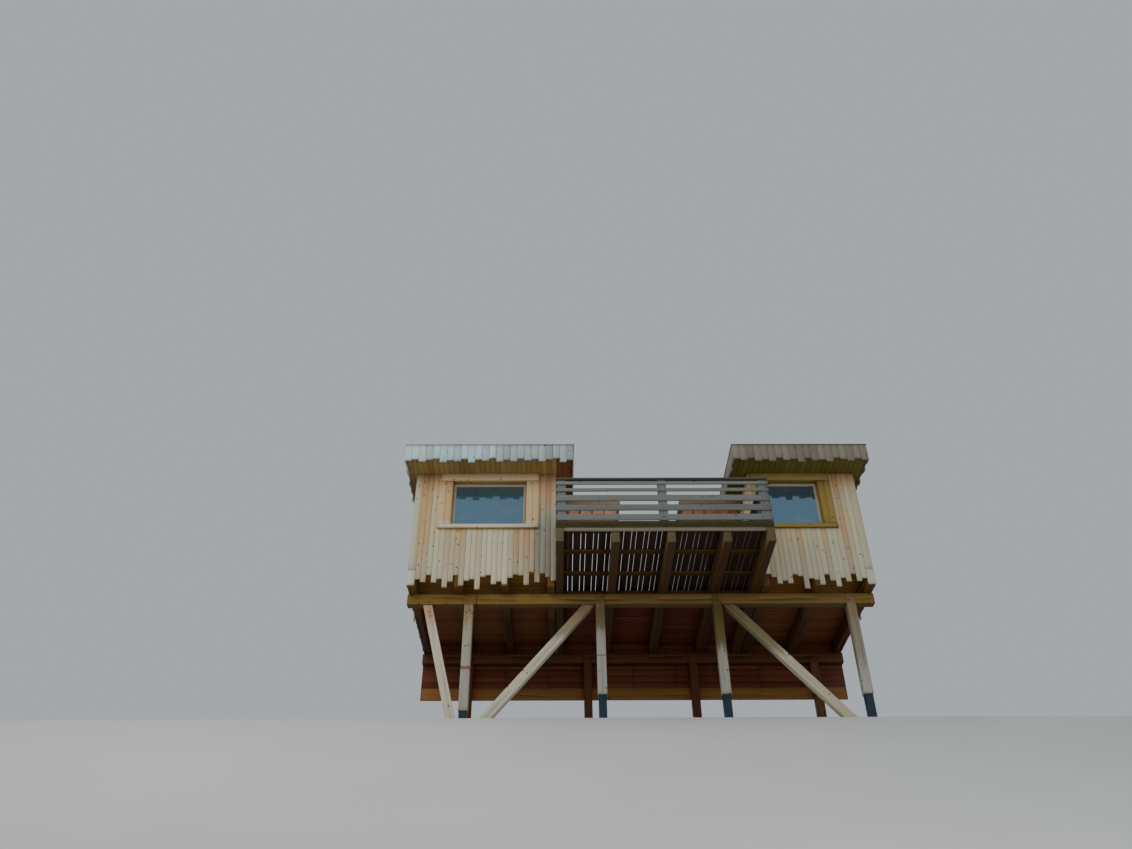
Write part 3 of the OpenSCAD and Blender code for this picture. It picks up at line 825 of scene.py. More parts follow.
def make_mesh(name: str, points: np.ndarray, faces: list[np.ndarray],
              attributes: dict[str, np.ndarray] | None = None) -> bpy.types.Object:
    """Put a mesh in the scene.

    Args:
        name: The piece's name.
        points: Vertices as (V, 3).
        faces: Arrays of corner indices, each (F, K) for faces of K corners.
        attributes: Vectors of the vertices, as (V, 3) under their names.

    Returns:
        The new object, at the origin.
    """
    mesh = bpy.data.meshes.new(name)
    mesh.vertices.add(len(points))
    mesh.vertices.foreach_set("co", np.ascontiguousarray(points, np.float32).ravel())
    loops = np.concatenate([f.ravel() for f in faces]).astype(np.int32)
    totals = np.concatenate([np.full(len(f), f.shape[1]) for f in faces]).astype(np.int32)
    mesh.loops.add(len(loops))
    mesh.loops.foreach_set("vertex_index", loops)
    mesh.polygons.add(len(totals))
    mesh.polygons.foreach_set("loop_start", (np.cumsum(totals) - totals).astype(np.int32))
    mesh.polygons.foreach_set("loop_total", totals)
    mesh.update(calc_edges=True)
    # Each face's normal is kept as facing; the woods read it to paint shade on faces that look down.
    facing = np.empty(3 * len(totals), np.float32)
    mesh.polygons.foreach_get("normal", facing)
    mesh.attributes.new("facing", "FLOAT_VECTOR", "FACE").data.foreach_set("vector", facing)
    for key, values in (attributes or {}).items():
        layer = mesh.attributes.new(key, "FLOAT_VECTOR", "POINT")
        layer.data.foreach_set("vector", np.ascontiguousarray(values, np.float32).ravel())
    piece = bpy.data.objects.new(name, mesh)
    bpy.context.scene.collection.objects.link(piece)
    return piece


def seat(piece: bpy.types.Object, finish: Finish, slot: str, *replaced: str) -> None:
    """Dress a piece and tie it to the frame.

    Args:
        piece: The piece, finished.
        finish: Its finish.
        slot: The record's material slot for it. It is not used.
        replaced: CAD nodes that it stands for.
    """
    piece.data.materials.append(Paintbox.get(finish))
    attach(piece, "root")
    if replaced:
        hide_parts(*replaced)
    LOG.info("%s: %d faces, stands for %s", piece.name, len(piece.data.polygons),
             ", ".join(replaced) or "nothing")


def outward(piece: bpy.types.Object) -> None:
    """Turn the faces of a closed mesh outwards.

    Args:
        piece: The piece.
    """
    work = bmesh.new()
    work.from_mesh(piece.data)
    bmesh.ops.recalc_face_normals(work, faces=work.faces)
    work.to_mesh(piece.data)
    work.free()


class Face(Enum):
    """A face of a timber, by the sign of y that it looks to."""

    FRONT = -1
    BACK = 1


@dataclass(frozen=True)
class Cut:
    """How a timber was sawn and what the weather did to it. Lengths are in metres."""

    chamfer: float = 0.003
    ring_step: float = 0.45
    sway_across: float = 0.0008
    sway_out: float = 0.0015
    skew: float = 0.0
    crack: float = 0.0
    heart: float = 0.10


@dataclass(frozen=True)
class Lap:
    """A stretch where each timber is halved, from start to end along it, kept at one face."""

    start: np.ndarray
    end: np.ndarray
    face: Face


@dataclass
class Timbers:
    """Straight timbers of one kind, as arrays with one row for each. Lengths are in metres.

    start is the middle of the lower end, along and across are unit vectors, and slant is how much
    both ends lean with the distance across.
    """

    start: np.ndarray
    along: np.ndarray
    across: np.ndarray
    length: np.ndarray
    width: np.ndarray
    thick: np.ndarray
    cut: Cut = Cut()
    seed: int = 1
    slant: float = 0.0
    laps: tuple[Lap, ...] = ()

    FACE_OUT = np.array([[0, -1], [1, 0], [0, 1], [-1, 0]])
    FACE_WAY = np.array([[1, 0], [0, 1], [-1, 0], [0, -1]])
    CRACK_HALF_W = 0.0035
    CRACK_LONG = 1.1
    CRACK_WAVE = 1.7
    CRACK_END = 0.1
    LONG_WAVE = 2.1
    SHORT_WAVE = 0.8
    LEAN_REACH = 0.3
    GRAIN_RUN = 40

    @classmethod
    def in_boxes(cls, boxes: np.ndarray, along: int | None = None, **more: Any) -> "Timbers":
        """Timbers that fill boxes.

        Args:
            boxes: Lowest and highest corners as (N, 2, 3).
            along: The axis of the grain, or the longest one of each box if it isn't given.
            more: The other fields.

        Returns:
            The timbers, each with its grain along it and its width over its thickness.
        """
        size = boxes[:, 1] - boxes[:, 0]
        rank = size.copy()
        if along is not None:
            rank[:, along] = np.inf
        order = np.argsort(rank, axis=1, kind="stable")
        row = np.arange(len(boxes))
        axes = np.eye(3)
        start = boxes.mean(axis=1)
        start[row, order[:, 2]] = boxes[row, 0, order[:, 2]]
        return cls(start, axes[order[:, 2]], axes[order[:, 1]], size[row, order[:, 2]],
                   size[row, order[:, 1]], size[row, order[:, 0]], **more)

    def stations(self) -> np.ndarray:
        """Places of the rings along each timber.

        They are both ends, the chamfers' inner edges, even steps between them and a pair of rings at
        each lap's shoulder.

        Returns:
            Distances from the start, lowest first, (N, R).
        """
        edge = self.cut.chamfer
        count = max(2, math.ceil(self.length.max() / self.cut.ring_step) + 1)
        share = np.linspace(0, 1, count)
        inner = edge + share[None] * (self.length[:, None] - 2 * edge)
        marks = [np.zeros_like(self.length), *inner.T, self.length]
        for lap in self.laps:
            marks += [lap.start - TINY, lap.start]
            if (lap.end < self.length - TINY).all():
                marks += [lap.end, lap.end + TINY]
        return np.sort(np.stack(marks, axis=1), axis=1)

    def section(self, rings: np.ndarray, rng: np.random.Generator) -> tuple[np.ndarray, np.ndarray]:
        """Points of the section at each ring.

        Each of the four faces has a point at either end, a chamfer in from the corner, and on a
        cracked timber three more that form a groove. The groove's depth is a clipped sine of the
        distance along the timber.

        Args:
            rings: Places of the rings, (N, R).
            rng: The timbers' own random numbers.

        Returns:
            Distances across and out from the middle, each (N, R, P).
        """
        count, stops = rings.shape
        half_w = self.width / 2 - self.cut.sway_across
        half_t = self.thick / 2 - self.cut.sway_out
        out = np.stack([half_t, half_w, half_t, half_w], axis=1)[:, None, :, None]
        way = np.stack([half_w, half_t, half_w, half_t], axis=1)[:, None, :, None]
        shrink = np.zeros((count, stops, 1, 1))
        shrink[:, [0, -1]] = self.cut.chamfer
        points = 5 if self.cut.crack else 2
        share = np.empty((count, stops, 4, points))
        share[..., 0], share[..., -1] = -1.0, 1.0
        deep = np.zeros_like(share)
        if self.cut.crack:
            phase = rng.random((3, count, 1, 4))
            s = rings[:, :, None]
            wave = np.sin(2 * np.pi * (s / (self.CRACK_LONG + phase[1]) + phase[0])) + phase[2] - 0.3
            to_end = np.minimum(s, self.length[:, None, None] - s)
            opened = np.clip(wave, 0, 1) * np.clip(to_end / self.CRACK_END, 0, 1)
            line = (phase[2] - 0.5) * 0.9 + 0.12 * np.sin(2 * np.pi * (s / self.CRACK_WAVE + phase[1]))
            gap = self.CRACK_HALF_W * (0.15 + opened) / way[..., 0]
            share[..., 1], share[..., 2], share[..., 3] = line - gap, line, line + gap
            deep[..., 2] = self.cut.crack * opened
        reach = out - shrink - deep
        slide = share * (way - self.cut.chamfer - shrink)
        u = self.FACE_OUT[:, 0, None] * reach + self.FACE_WAY[:, 0, None] * slide
        v = self.FACE_OUT[:, 1, None] * reach + self.FACE_WAY[:, 1, None] * slide
        return u.reshape(count, stops, -1), v.reshape(count, stops, -1)

    def sway(self, rings: np.ndarray, rng: np.random.Generator) -> np.ndarray:
        """How far each ring strays from the straight line.

        Two sines with random phases are summed, a long one and a short one.

        Args:
            rings: Places of the rings, (N, R).
            rng: The timbers' own random numbers.

        Returns:
            Shares of the timber's sway from -1 to 1, (N, R).
        """
        phase = rng.random((3, len(rings), 1))
        long_wave = np.sin(2 * np.pi * (rings / self.LONG_WAVE + phase[0]))
        short_wave = np.sin(2 * np.pi * (rings / self.SHORT_WAVE + phase[1]))
        return (0.6 * long_wave + 0.4 * short_wave) * (0.4 + 0.6 * phase[2])

    def build(self, name: str, finish: Wood, slot: str, *replaced: str) -> None:
        """Carry each section along its timber, close both ends and dress the mesh.

        A point is the start plus the distance along, across and out times those directions.

        Args:
            name: The piece's name.
            finish: Its wood.
            slot: The record's material slot.
            replaced: CAD nodes that it stands for.
        """
        rng = np.random.default_rng(self.seed)
        rings = self.stations()
        u, v = self.section(rings, rng)
        for lap in self.laps:
            after, before = rings - lap.start[:, None], lap.end[:, None] - rings
            halved = (np.minimum(after, before) >= -TINY / 2)[..., None]
            kept = lap.face.value * self.thick[:, None, None] / 2
            v = np.where(halved, kept + (v - kept) / 2, v)
        u = u + (self.sway(rings, rng) * self.cut.sway_across)[..., None]
        v = v + (self.sway(rings, rng) * self.cut.sway_out)[..., None]
        lean = rng.uniform(-self.cut.skew, self.cut.skew, (len(rings), 1, 1))
        lean = lean * np.clip(1 - rings / self.LEAN_REACH, 0, 1)[..., None]
        s = rings[..., None] + u * (self.slant + lean) + np.abs(lean) * self.width[:, None, None] / 2
        out = np.cross(self.along, self.across)
        at = self.start[:, None, None] + s[..., None] * self.along[:, None, None]
        at = at + u[..., None] * self.across[:, None, None] + v[..., None] * out[:, None, None]

        count, stops, points = u.shape
        index = numbered(u.shape)
        ends = np.concatenate([index[:, 0, ::-1], index[:, -1]])

        luck = rng.random((count, 5))
        heart = (luck[:, :2] - 0.5) * [2.4, 1.2] * self.cut.heart
        grain = np.stack([s + luck[:, 2, None, None] * self.GRAIN_RUN, u + heart[:, 0, None, None],
                          v + heart[:, 1, None, None]], axis=-1)
        end_gap = np.minimum(rings, self.length[:, None] - rings)
        board = np.stack(np.broadcast_arrays(luck[:, 3, None, None], luck[:, 4, None, None],
                                             end_gap[..., None]), axis=-1)
        board = np.broadcast_to(board, (count, stops, points, 3))
        piece = make_mesh(name, at.reshape(-1, 3), [tube_faces(index), ends],
                          {"grain": grain.reshape(-1, 3), "board": board.reshape(-1, 3)})
        seat(piece, finish, slot, *replaced)


def lay(name: str, boxes: np.ndarray, finish: Wood, slot: str, *replaced: str, **more: Any) -> None:
    """Fill boxes with timbers, as one piece. more is what Timbers.in_boxes takes beside the boxes."""
    Timbers.in_boxes(boxes, **more).build(name, finish, slot, *replaced)


def lattice(x: np.ndarray, y: np.ndarray, z: np.ndarray) -> np.ndarray:
    """Every point whose x, y and z are in three lists, as (N, 3) with x slowest."""
    return np.stack(np.meshgrid(x, y, z, indexing="ij"), axis=-1).reshape(-1, 3)


DOME_POINTS = 8
DOME_WIDE = np.array([1.0, 0.92, 0.55])
DOME_TALL = np.array([0.0, 0.6, 0.95])


def heads(name: str, points: np.ndarray, way: np.ndarray, radius: float, height: float) -> None:
    """Round heads of nails and bolts.

    Each is a low dome: three rings of eight points whose radius and height are shares of the head's
    own, closed by one point on top.

    Args:
        name: The piece's name.
        points: Middles on the surface, (N, 3).
        way: The direction that they look in, (3,) or (N, 3).
        radius: Radius of a head in metres.
        height: Height of a head in metres.
    """
    way = np.broadcast_to(way, points.shape).astype(float)
    side = np.where(np.abs(way[:, 2:3]) > 0.5, [[1.0, 0.0, 0.0]], [[0.0, 0.0, 1.0]])
    other = np.cross(way, side)
    turn = np.arange(DOME_POINTS) * 2 * np.pi / DOME_POINTS
    ring = np.cos(turn)[:, None, None] * side[None] + np.sin(turn)[:, None, None] * other[None]
    wide, tall = DOME_WIDE * radius, DOME_TALL * height
    body = (points[:, None, None] + wide[None, :, None, None] * ring.transpose(1, 0, 2)[:, None]
            + tall[None, :, None, None] * way[:, None, None])
    top = points + way * height
    index = numbered(body.shape[:3])
    peak = np.broadcast_to(index.size + np.arange(len(points))[:, None], index[:, 2].shape)
    caps = np.stack([index[:, 2], np.roll(index[:, 2], -1, axis=1), peak], axis=-1)
    piece = make_mesh(name, np.concatenate([body.reshape(-1, 3), top]),
                      [tube_faces(index), caps.reshape(-1, 3), index[:, 0, ::-1]])
    outward(piece)
    seat(piece, NAIL, "shoe_metal")


def carried_ring(path: np.ndarray, inward: np.ndarray, rise: np.ndarray, profile: np.ndarray) -> np.ndarray:
    """Each point of a path, plus the profile's first number times inward and its second times rise."""
    return (path[:, None] + profile[None, :, :1] * inward[:, None]
            + profile[None, :, 1:] * np.asarray(rise, float))


def split_box(box: np.ndarray, axis: int, width: float, gap: float) -> np.ndarray:
    """Boards side by side that fill a box.

    Args:
        box: Lowest and highest corner, (2, 3).
        axis: The axis across the boards.
        width: The wanted width of a board with its gap.
        gap: The open joint between two boards.

    Returns:
        The boards' boxes, (N, 2, 3).
    """
    count = max(1, round((box[1, axis] - box[0, axis]) / width))
    edges = np.linspace(box[0, axis], box[1, axis] + gap, count + 1)
    boards = np.repeat(box[None], count, axis=0)
    boards[:, 0, axis] = edges[:-1]
    boards[:, 1, axis] = edges[1:] - gap
    return boards


# The object's own parts


class Side(Enum):
    """Which cabin. Its value starts the names of the cabin's nodes."""

    LEFT = "left"
    RIGHT = "right"

    def __str__(self) -> str:
        """The value, for names."""
        return self.value


@dataclass(frozen=True)
class Row:
    """One row of posts with its beam, whose face the posts' halves lie in."""

    name: str
    face: Face
    post: Wood
    beam: Wood
    post_slot: str
    beam_slot: str


@dataclass
class PostFrame:
    """Two rows of posts lapped into long beams, with braces and metal shoes."""

    cut: Cut = Cut(chamfer=0.006, ring_step=0.09, sway_across=0.0015, sway_out=0.0015,
                   crack=0.012, heart=0.03)
    rows: tuple[Row, ...] = (
        Row("front", Face.FRONT, POST, BEAM, "post_timber", "beam_timber"),
        Row("rear", Face.BACK, BACK_TIMBER, BACK_TIMBER, "dark_timber", "dark_timber"))
    shoe_points: int = 32
    shoe_corner: float = 0.012
    shoe_wall: float = 0.008
    shoe_edge: float = 0.002
    bolt_r: float = 0.016
    bolt_h: float = 0.007
    bolt_out: float = 0.035
    bolt_low: float = 0.08
    bolt_high: float = 0.07

    def build(self) -> None:
        """Make posts, beams, braces, shoes and the bolts of the laps."""
        for row in self.rows:
            self.posts(row)
        for row in self.rows:
            self.beams(row)
        self.braces()
        self.shoes()
        self.bolts()

    def posts(self, row: Row) -> None:
        """Square posts, halved where they run up through the beam.

        Args:
            row: The row that they stand in.
        """
        boxes = solids(f"{row.name}_posts")
        beam_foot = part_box(f"{row.name}_beam")[0][2]
        lap = Lap(beam_foot - boxes[:, 0, 2], boxes[:, 1, 2] - boxes[:, 0, 2], row.face)
        posts = Timbers.in_boxes(boxes, along=2, cut=self.cut, seed=11, laps=(lap,))
        posts.across = np.broadcast_to([1.0, 0.0, 0.0], posts.across.shape)
        posts.build(f"{row.name}_post_timbers", row.post, row.post_slot, f"{row.name}_posts")

    def beams(self, row: Row) -> None:
        """Lengths of a beam with a notch for each post, halved on the side that the post takes.

        Args:
            row: The row that they lie over.
        """
        posts = solids(f"{row.name}_posts")[:, :, 0]
        for number, box in enumerate(solids(f"{row.name}_beam")):
            inside = posts[(posts[:, 0] > box[0, 0]) & (posts[:, 1] < box[1, 0])] - box[0, 0]
            laps = tuple(Lap(ends[:1], ends[1:], row.face) for ends in inside)
            beam = Timbers.in_boxes(box[None], along=0, cut=self.cut, seed=21 + number, laps=laps)
            beam.across = np.array([[0.0, 0.0, 1.0]])
            beam.thick, beam.width = box[1, 1:2] - box[0, 1:2], box[1, 2:] - box[0, 2:]
            replaced = [f"{row.name}_beam"] if number == 0 else []
            beam.build(f"{row.name}_beam_length_{number + 1}", row.beam, row.beam_slot, *replaced)

    def braces(self) -> None:
        """Sloping braces, cut level at the top and on the ground."""
        for number, node in enumerate(("short_brace", "long_brace", "right_brace")):
            points, _ = corners(node)
            low, high = points[:, 2].min(), points[:, 2].max()
            foot = points[points[:, 2] < low + TINY]
            top = points[points[:, 2] > high - TINY]
            begin, end = ((p.min(axis=0) + p.max(axis=0)) / 2 for p in (foot, top))
            run = end - begin
            length = float(np.linalg.norm(run))
            along = run / length
            across = np.array([along[2], 0.0, -along[0]])
            cut_w = float(np.ptp(foot[:, 0])) * along[2]
            brace = Timbers(begin[None], along[None], across[None], np.array([length]), np.array([cut_w]),
                            np.array([float(np.ptp(points[:, 1]))]), cut=self.cut, seed=31 + number,
                            slant=-across[2] / along[2])
            brace.build(f"{node}_timber", BRACE, "brace_timber", node)

    def shoes(self) -> None:
        """Square tubes on base plates.

        Each is one profile carried round a square with rounded corners: up the outer wall, over the
        lip and down the inner wall to the plate. Two flat faces then close the plate.
        """
        boxes = solids("post_shoes")
        half = float(boxes[0, 1, 0] - boxes[0, 0, 0]) / 2
        turn = (np.arange(self.shoe_points) + 0.5) * 2 * np.pi / self.shoe_points
        normal = np.stack([np.cos(turn), np.sin(turn), np.zeros_like(turn)], axis=1)
        plan = np.sign(normal) * (half - self.shoe_corner) * [1, 1, 0] + normal * self.shoe_corner
        wall, edge = self.shoe_wall, self.shoe_edge
        rings = []
        for box in boxes:
            height = box[1, 2]
            profile = np.array([[edge, 0], [0, edge], [0, height - edge], [edge, height],
                                [wall - edge, height], [wall, height - edge], [wall, wall]])
            rings.append(carried_ring(plan + box.mean(axis=0) * [1, 1, 0], -normal, [0, 0, 1], profile))
        points = np.stack(rings)
        index = numbered(points.shape[:3]).transpose(0, 2, 1)
        piece = make_mesh("post_shoe_tubes", points.reshape(-1, 3),
                          [tube_faces(index), index[:, 0, ::-1], index[:, -1]])
        outward(piece)
        seat(piece, SHOE, "shoe_metal", "post_shoes")

    def bolts(self) -> None:
        """Two bolt heads where each front post is lapped into the beam."""
        posts = solids("front_posts")
        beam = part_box("front_beam")
        middle = posts[:, :, 0].mean(axis=1)
        x = np.repeat(middle, 2) + np.tile([-self.bolt_out, self.bolt_out], len(middle))
        z = np.tile([beam[0][2] + self.bolt_low, beam[1][2] - self.bolt_high], len(middle))
        y = np.full_like(x, beam[0][1] + self.cut.sway_out)
        heads("beam_bolts", np.stack([x, y, z], axis=1), np.array([0, -1, 0]), self.bolt_r, self.bolt_h)


@dataclass
class Deck:
    """Bearers, cross joists, rims and the boards of the open deck."""

    rough_cut: Cut = Cut(chamfer=0.004, ring_step=0.3, sway_across=0.002, sway_out=0.002, crack=0.008,
                         heart=0.05)
    board_cut: Cut = Cut(chamfer=0.003, ring_step=0.35, sway_across=0.0003, sway_out=0.002)
    dirt_cut: Cut = Cut(chamfer=0.001, ring_step=0.5, sway_across=0.0, sway_out=0.0)
    screw_r: float = 0.005
    screw_h: float = 0.0015
    screw_in: float = 0.025
    lining_in: float = 0.25
    lining_t: float = 0.018
    lining_w: float = 0.145
    lining_gap: float = 0.002
    dirt_in: float = 0.003
    dirt_deep: float = 0.045
    dirt_lap: float = 0.002

    def build(self) -> None:
        """Make every layer from its solids in the frame."""
        for seed, node, finish, slot in ((41, "cabin_bearers", CABIN_BEARER, "bearer_timber"),
                                         (42, "deck_bearers", BEARER, "bearer_timber"),
                                         (43, "deck_joists", JOIST, "bearer_timber"),
                                         (44, "deck_rims", RIM, "rim_timber")):
            lay(f"{node}_timbers", solids(node), finish, slot, node, cut=self.rough_cut, seed=seed)
        boards = solids("deck_boards")
        lay("deck_board_planks", boards, DECK, "deck_timber", "deck_boards", cut=self.board_cut, seed=45)
        self.screws(boards)
        self.shade_lining()
        self.packed_dirt(boards)

    def shade_lining(self) -> None:
        """Closed dark boards under the joists, between the bearers and behind the front beam: a dark
        sheet that stands in for the shade under the deck and hides the light between its boards.
        """
        bearers = solids("deck_bearers")
        bays = bearers[:-1].copy()
        bays[:, 0, 0], bays[:, 1, 0] = bearers[:-1, 1, 0], bearers[1:, 0, 0]
        bays[:, 0, 1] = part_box("front_beam")[1][1] + self.lining_in
        bays[:, 1, 1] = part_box("rear_skirt")[0][1]
        bays[:, 1, 2] -= self.rough_cut.sway_out
        bays[:, 0, 2] = bays[:, 1, 2] - self.lining_t
        boards = np.concatenate([split_box(bay, 1, self.lining_w, self.lining_gap) for bay in bays])
        lay("deck_shade_lining_boards", boards, DECK_SHADE_LINING, "floor_panel", along=0, cut=self.board_cut, seed=46)

    def packed_dirt(self, boards: np.ndarray) -> None:
        """Moss and dirt that fill the gaps between the boards at the deck's front edge.

        Args:
            boards: The deck boards' boxes, (N, 2, 3).
        """
        fill = boards[:-1].copy()
        fill[:, 0, 0], fill[:, 1, 0] = boards[:-1, 1, 0] - self.dirt_lap, boards[1:, 0, 0] + self.dirt_lap
        fill[:, 0, 1:] += self.dirt_in
        fill[:, 1, 1] = fill[:, 0, 1] + self.dirt_deep
        fill[:, 1, 2] -= self.dirt_in
        lay("deck_edge_dirt", fill, DIRT, "deck_timber", along=1, cut=self.dirt_cut, seed=47)

    def screws(self, boards: np.ndarray) -> None:
        """Two screws over each joist in each board.

        Args:
            boards: The deck boards' boxes, (N, 2, 3).
        """
        joists = solids("deck_joists")[:, :, 1].mean(axis=1)
        edges = np.stack([boards[:, 0, 0] + self.screw_in, boards[:, 1, 0] - self.screw_in], axis=1).ravel()
        points = lattice(edges, joists, boards[:1, 1, 2] - self.board_cut.sway_out)
        heads("deck_screws", points, np.array([0, 0, 1]), self.screw_r, self.screw_h)


@dataclass
class Balustrades:
    """Posts, grey boards and flat handrails round the deck."""

    cut: Cut = Cut(chamfer=0.003, ring_step=0.3, sway_across=0.0015, sway_out=0.001)
    post_cut: Cut = Cut(chamfer=0.005, ring_step=0.15, sway_across=0.001, sway_out=0.001, crack=0.008,
                        heart=0.04)
    screw_r: float = 0.006
    screw_h: float = 0.0015
    screw_out: float = 0.04

    def build(self) -> None:
        """Make each set of boards, the posts and the screws of the front boards."""
        lay("balustrade_post_timbers", solids("balustrade_posts"), RAIL, "rail_timber", "balustrade_posts",
            along=2, cut=self.post_cut, seed=51)
        nodes = ("front_balustrade", "side_balustrades", "rear_balustrades", "handrails")
        for seed, node in enumerate(nodes, 52):
            lay(f"{node}_boards", solids(node), RAIL, "rail_timber", node, cut=self.cut, seed=seed)
        self.screws()

    def screws(self) -> None:
        """Two screws where each front board crosses a post."""
        boards = solids("front_balustrade")
        posts = solids("balustrade_posts")
        front = posts[posts[:, 0, 1] < boards[0, 1, 1] + TINY]
        x = front[:, :, 0].mean(axis=1)
        x = np.repeat(x, 2) + np.tile([-self.screw_out, self.screw_out], len(x))
        points = lattice(x, boards[:1, 0, 1] + self.cut.sway_out, boards[:, :, 2].mean(axis=1))
        heads("balustrade_screws", points, np.array([0, -1, 0]), self.screw_r, self.screw_h)


@dataclass
class Skirt:
    """Dark boards behind the back posts and the paler rail under them."""

    board_h: float = 0.133
    gap: float = 0.0
    butt: float = 0.0016
    cut: Cut = Cut(chamfer=0.003, ring_step=0.4, sway_across=0.0004, sway_out=0.0015)
    rail_cut: Cut = Cut(chamfer=0.005, ring_step=0.3, sway_across=0.002, sway_out=0.0015, crack=0.006)

    def build(self) -> None:
        """Make the level boards of each panel, and the rail."""
        low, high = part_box("rear_skirt")
        panels = solids("rear_skirt")
        panels[:, 0, 0] = np.maximum(panels[:, 0, 0] - self.butt, low[0])
        panels[:, 1, 0] = np.minimum(panels[:, 1, 0] + self.butt, high[0])
        boards = np.concatenate([split_box(box, 2, self.board_h, self.gap) for box in panels])
        lay("rear_skirt_boards", boards, SKIRT, "skirt_panel", "rear_skirt", along=0, cut=self.cut, seed=61)
        lay("skirt_rail_timber", solids("skirt_rail"), SKIRT_RAIL, "bearer_timber", "skirt_rail",
            cut=self.rail_cut, seed=62)


@dataclass
class DoorCanopies:
    """Flat board canopies over the two doorways."""

    rim_t: float = 0.04
    joists: int = 4
    joist_w: float = 0.05
    joist_h: float = 0.055
    board_t: float = 0.02
    board_w: float = 0.124
    gap: float = 0.004
    cut: Cut = Cut(chamfer=0.003, ring_step=0.4)

    def build(self) -> None:
        """Make rims, joists and top boards inside each canopy's box. The joists and boards take a
        pale finish: painted light under the canopy.
        """
        rims, lids = zip(*(self.timbers(box) for box in solids("door_canopies")))
        lay("door_canopy_timbers", np.concatenate(rims), CANOPY, "canopy_timber", "door_canopies",
            cut=self.cut, seed=71)
        lay("door_canopy_boards", np.concatenate(lids), CANOPY_BOARD_PAINTED_LIGHT, "canopy_timber",
            cut=self.cut, seed=72)

    def timbers(self, box: np.ndarray) -> tuple[np.ndarray, np.ndarray]:
        """Boxes of one canopy's timbers.

        Args:
            box: The canopy's own box, (2, 3).

        Returns:
            Two long rims and two short ones between them; then four joists and the boards on top.
        """
        low, high = box
        top = high[2] - self.board_t
        near, far = low[1] + self.rim_t, high[1] - self.rim_t
        long_rims = np.array([[[low[0], y, low[2]], [high[0], y + self.rim_t, top]] for y in (low[1], far)])
        short = np.array([[[x, near, low[2]], [x + self.rim_t, far, top]]
                          for x in (low[0], high[0] - self.rim_t)])
        places = np.linspace(low[0], high[0] - self.joist_w, self.joists + 2)[1:-1]
        joists = np.array([[[x, near, top - self.joist_h], [x + self.joist_w, far, top]] for x in places])
        lid = np.array([[low[0], low[1], top], high])
        boards = split_box(lid, 1, self.board_w, self.gap)
        return np.concatenate([long_rims, short]), np.concatenate([joists, boards])


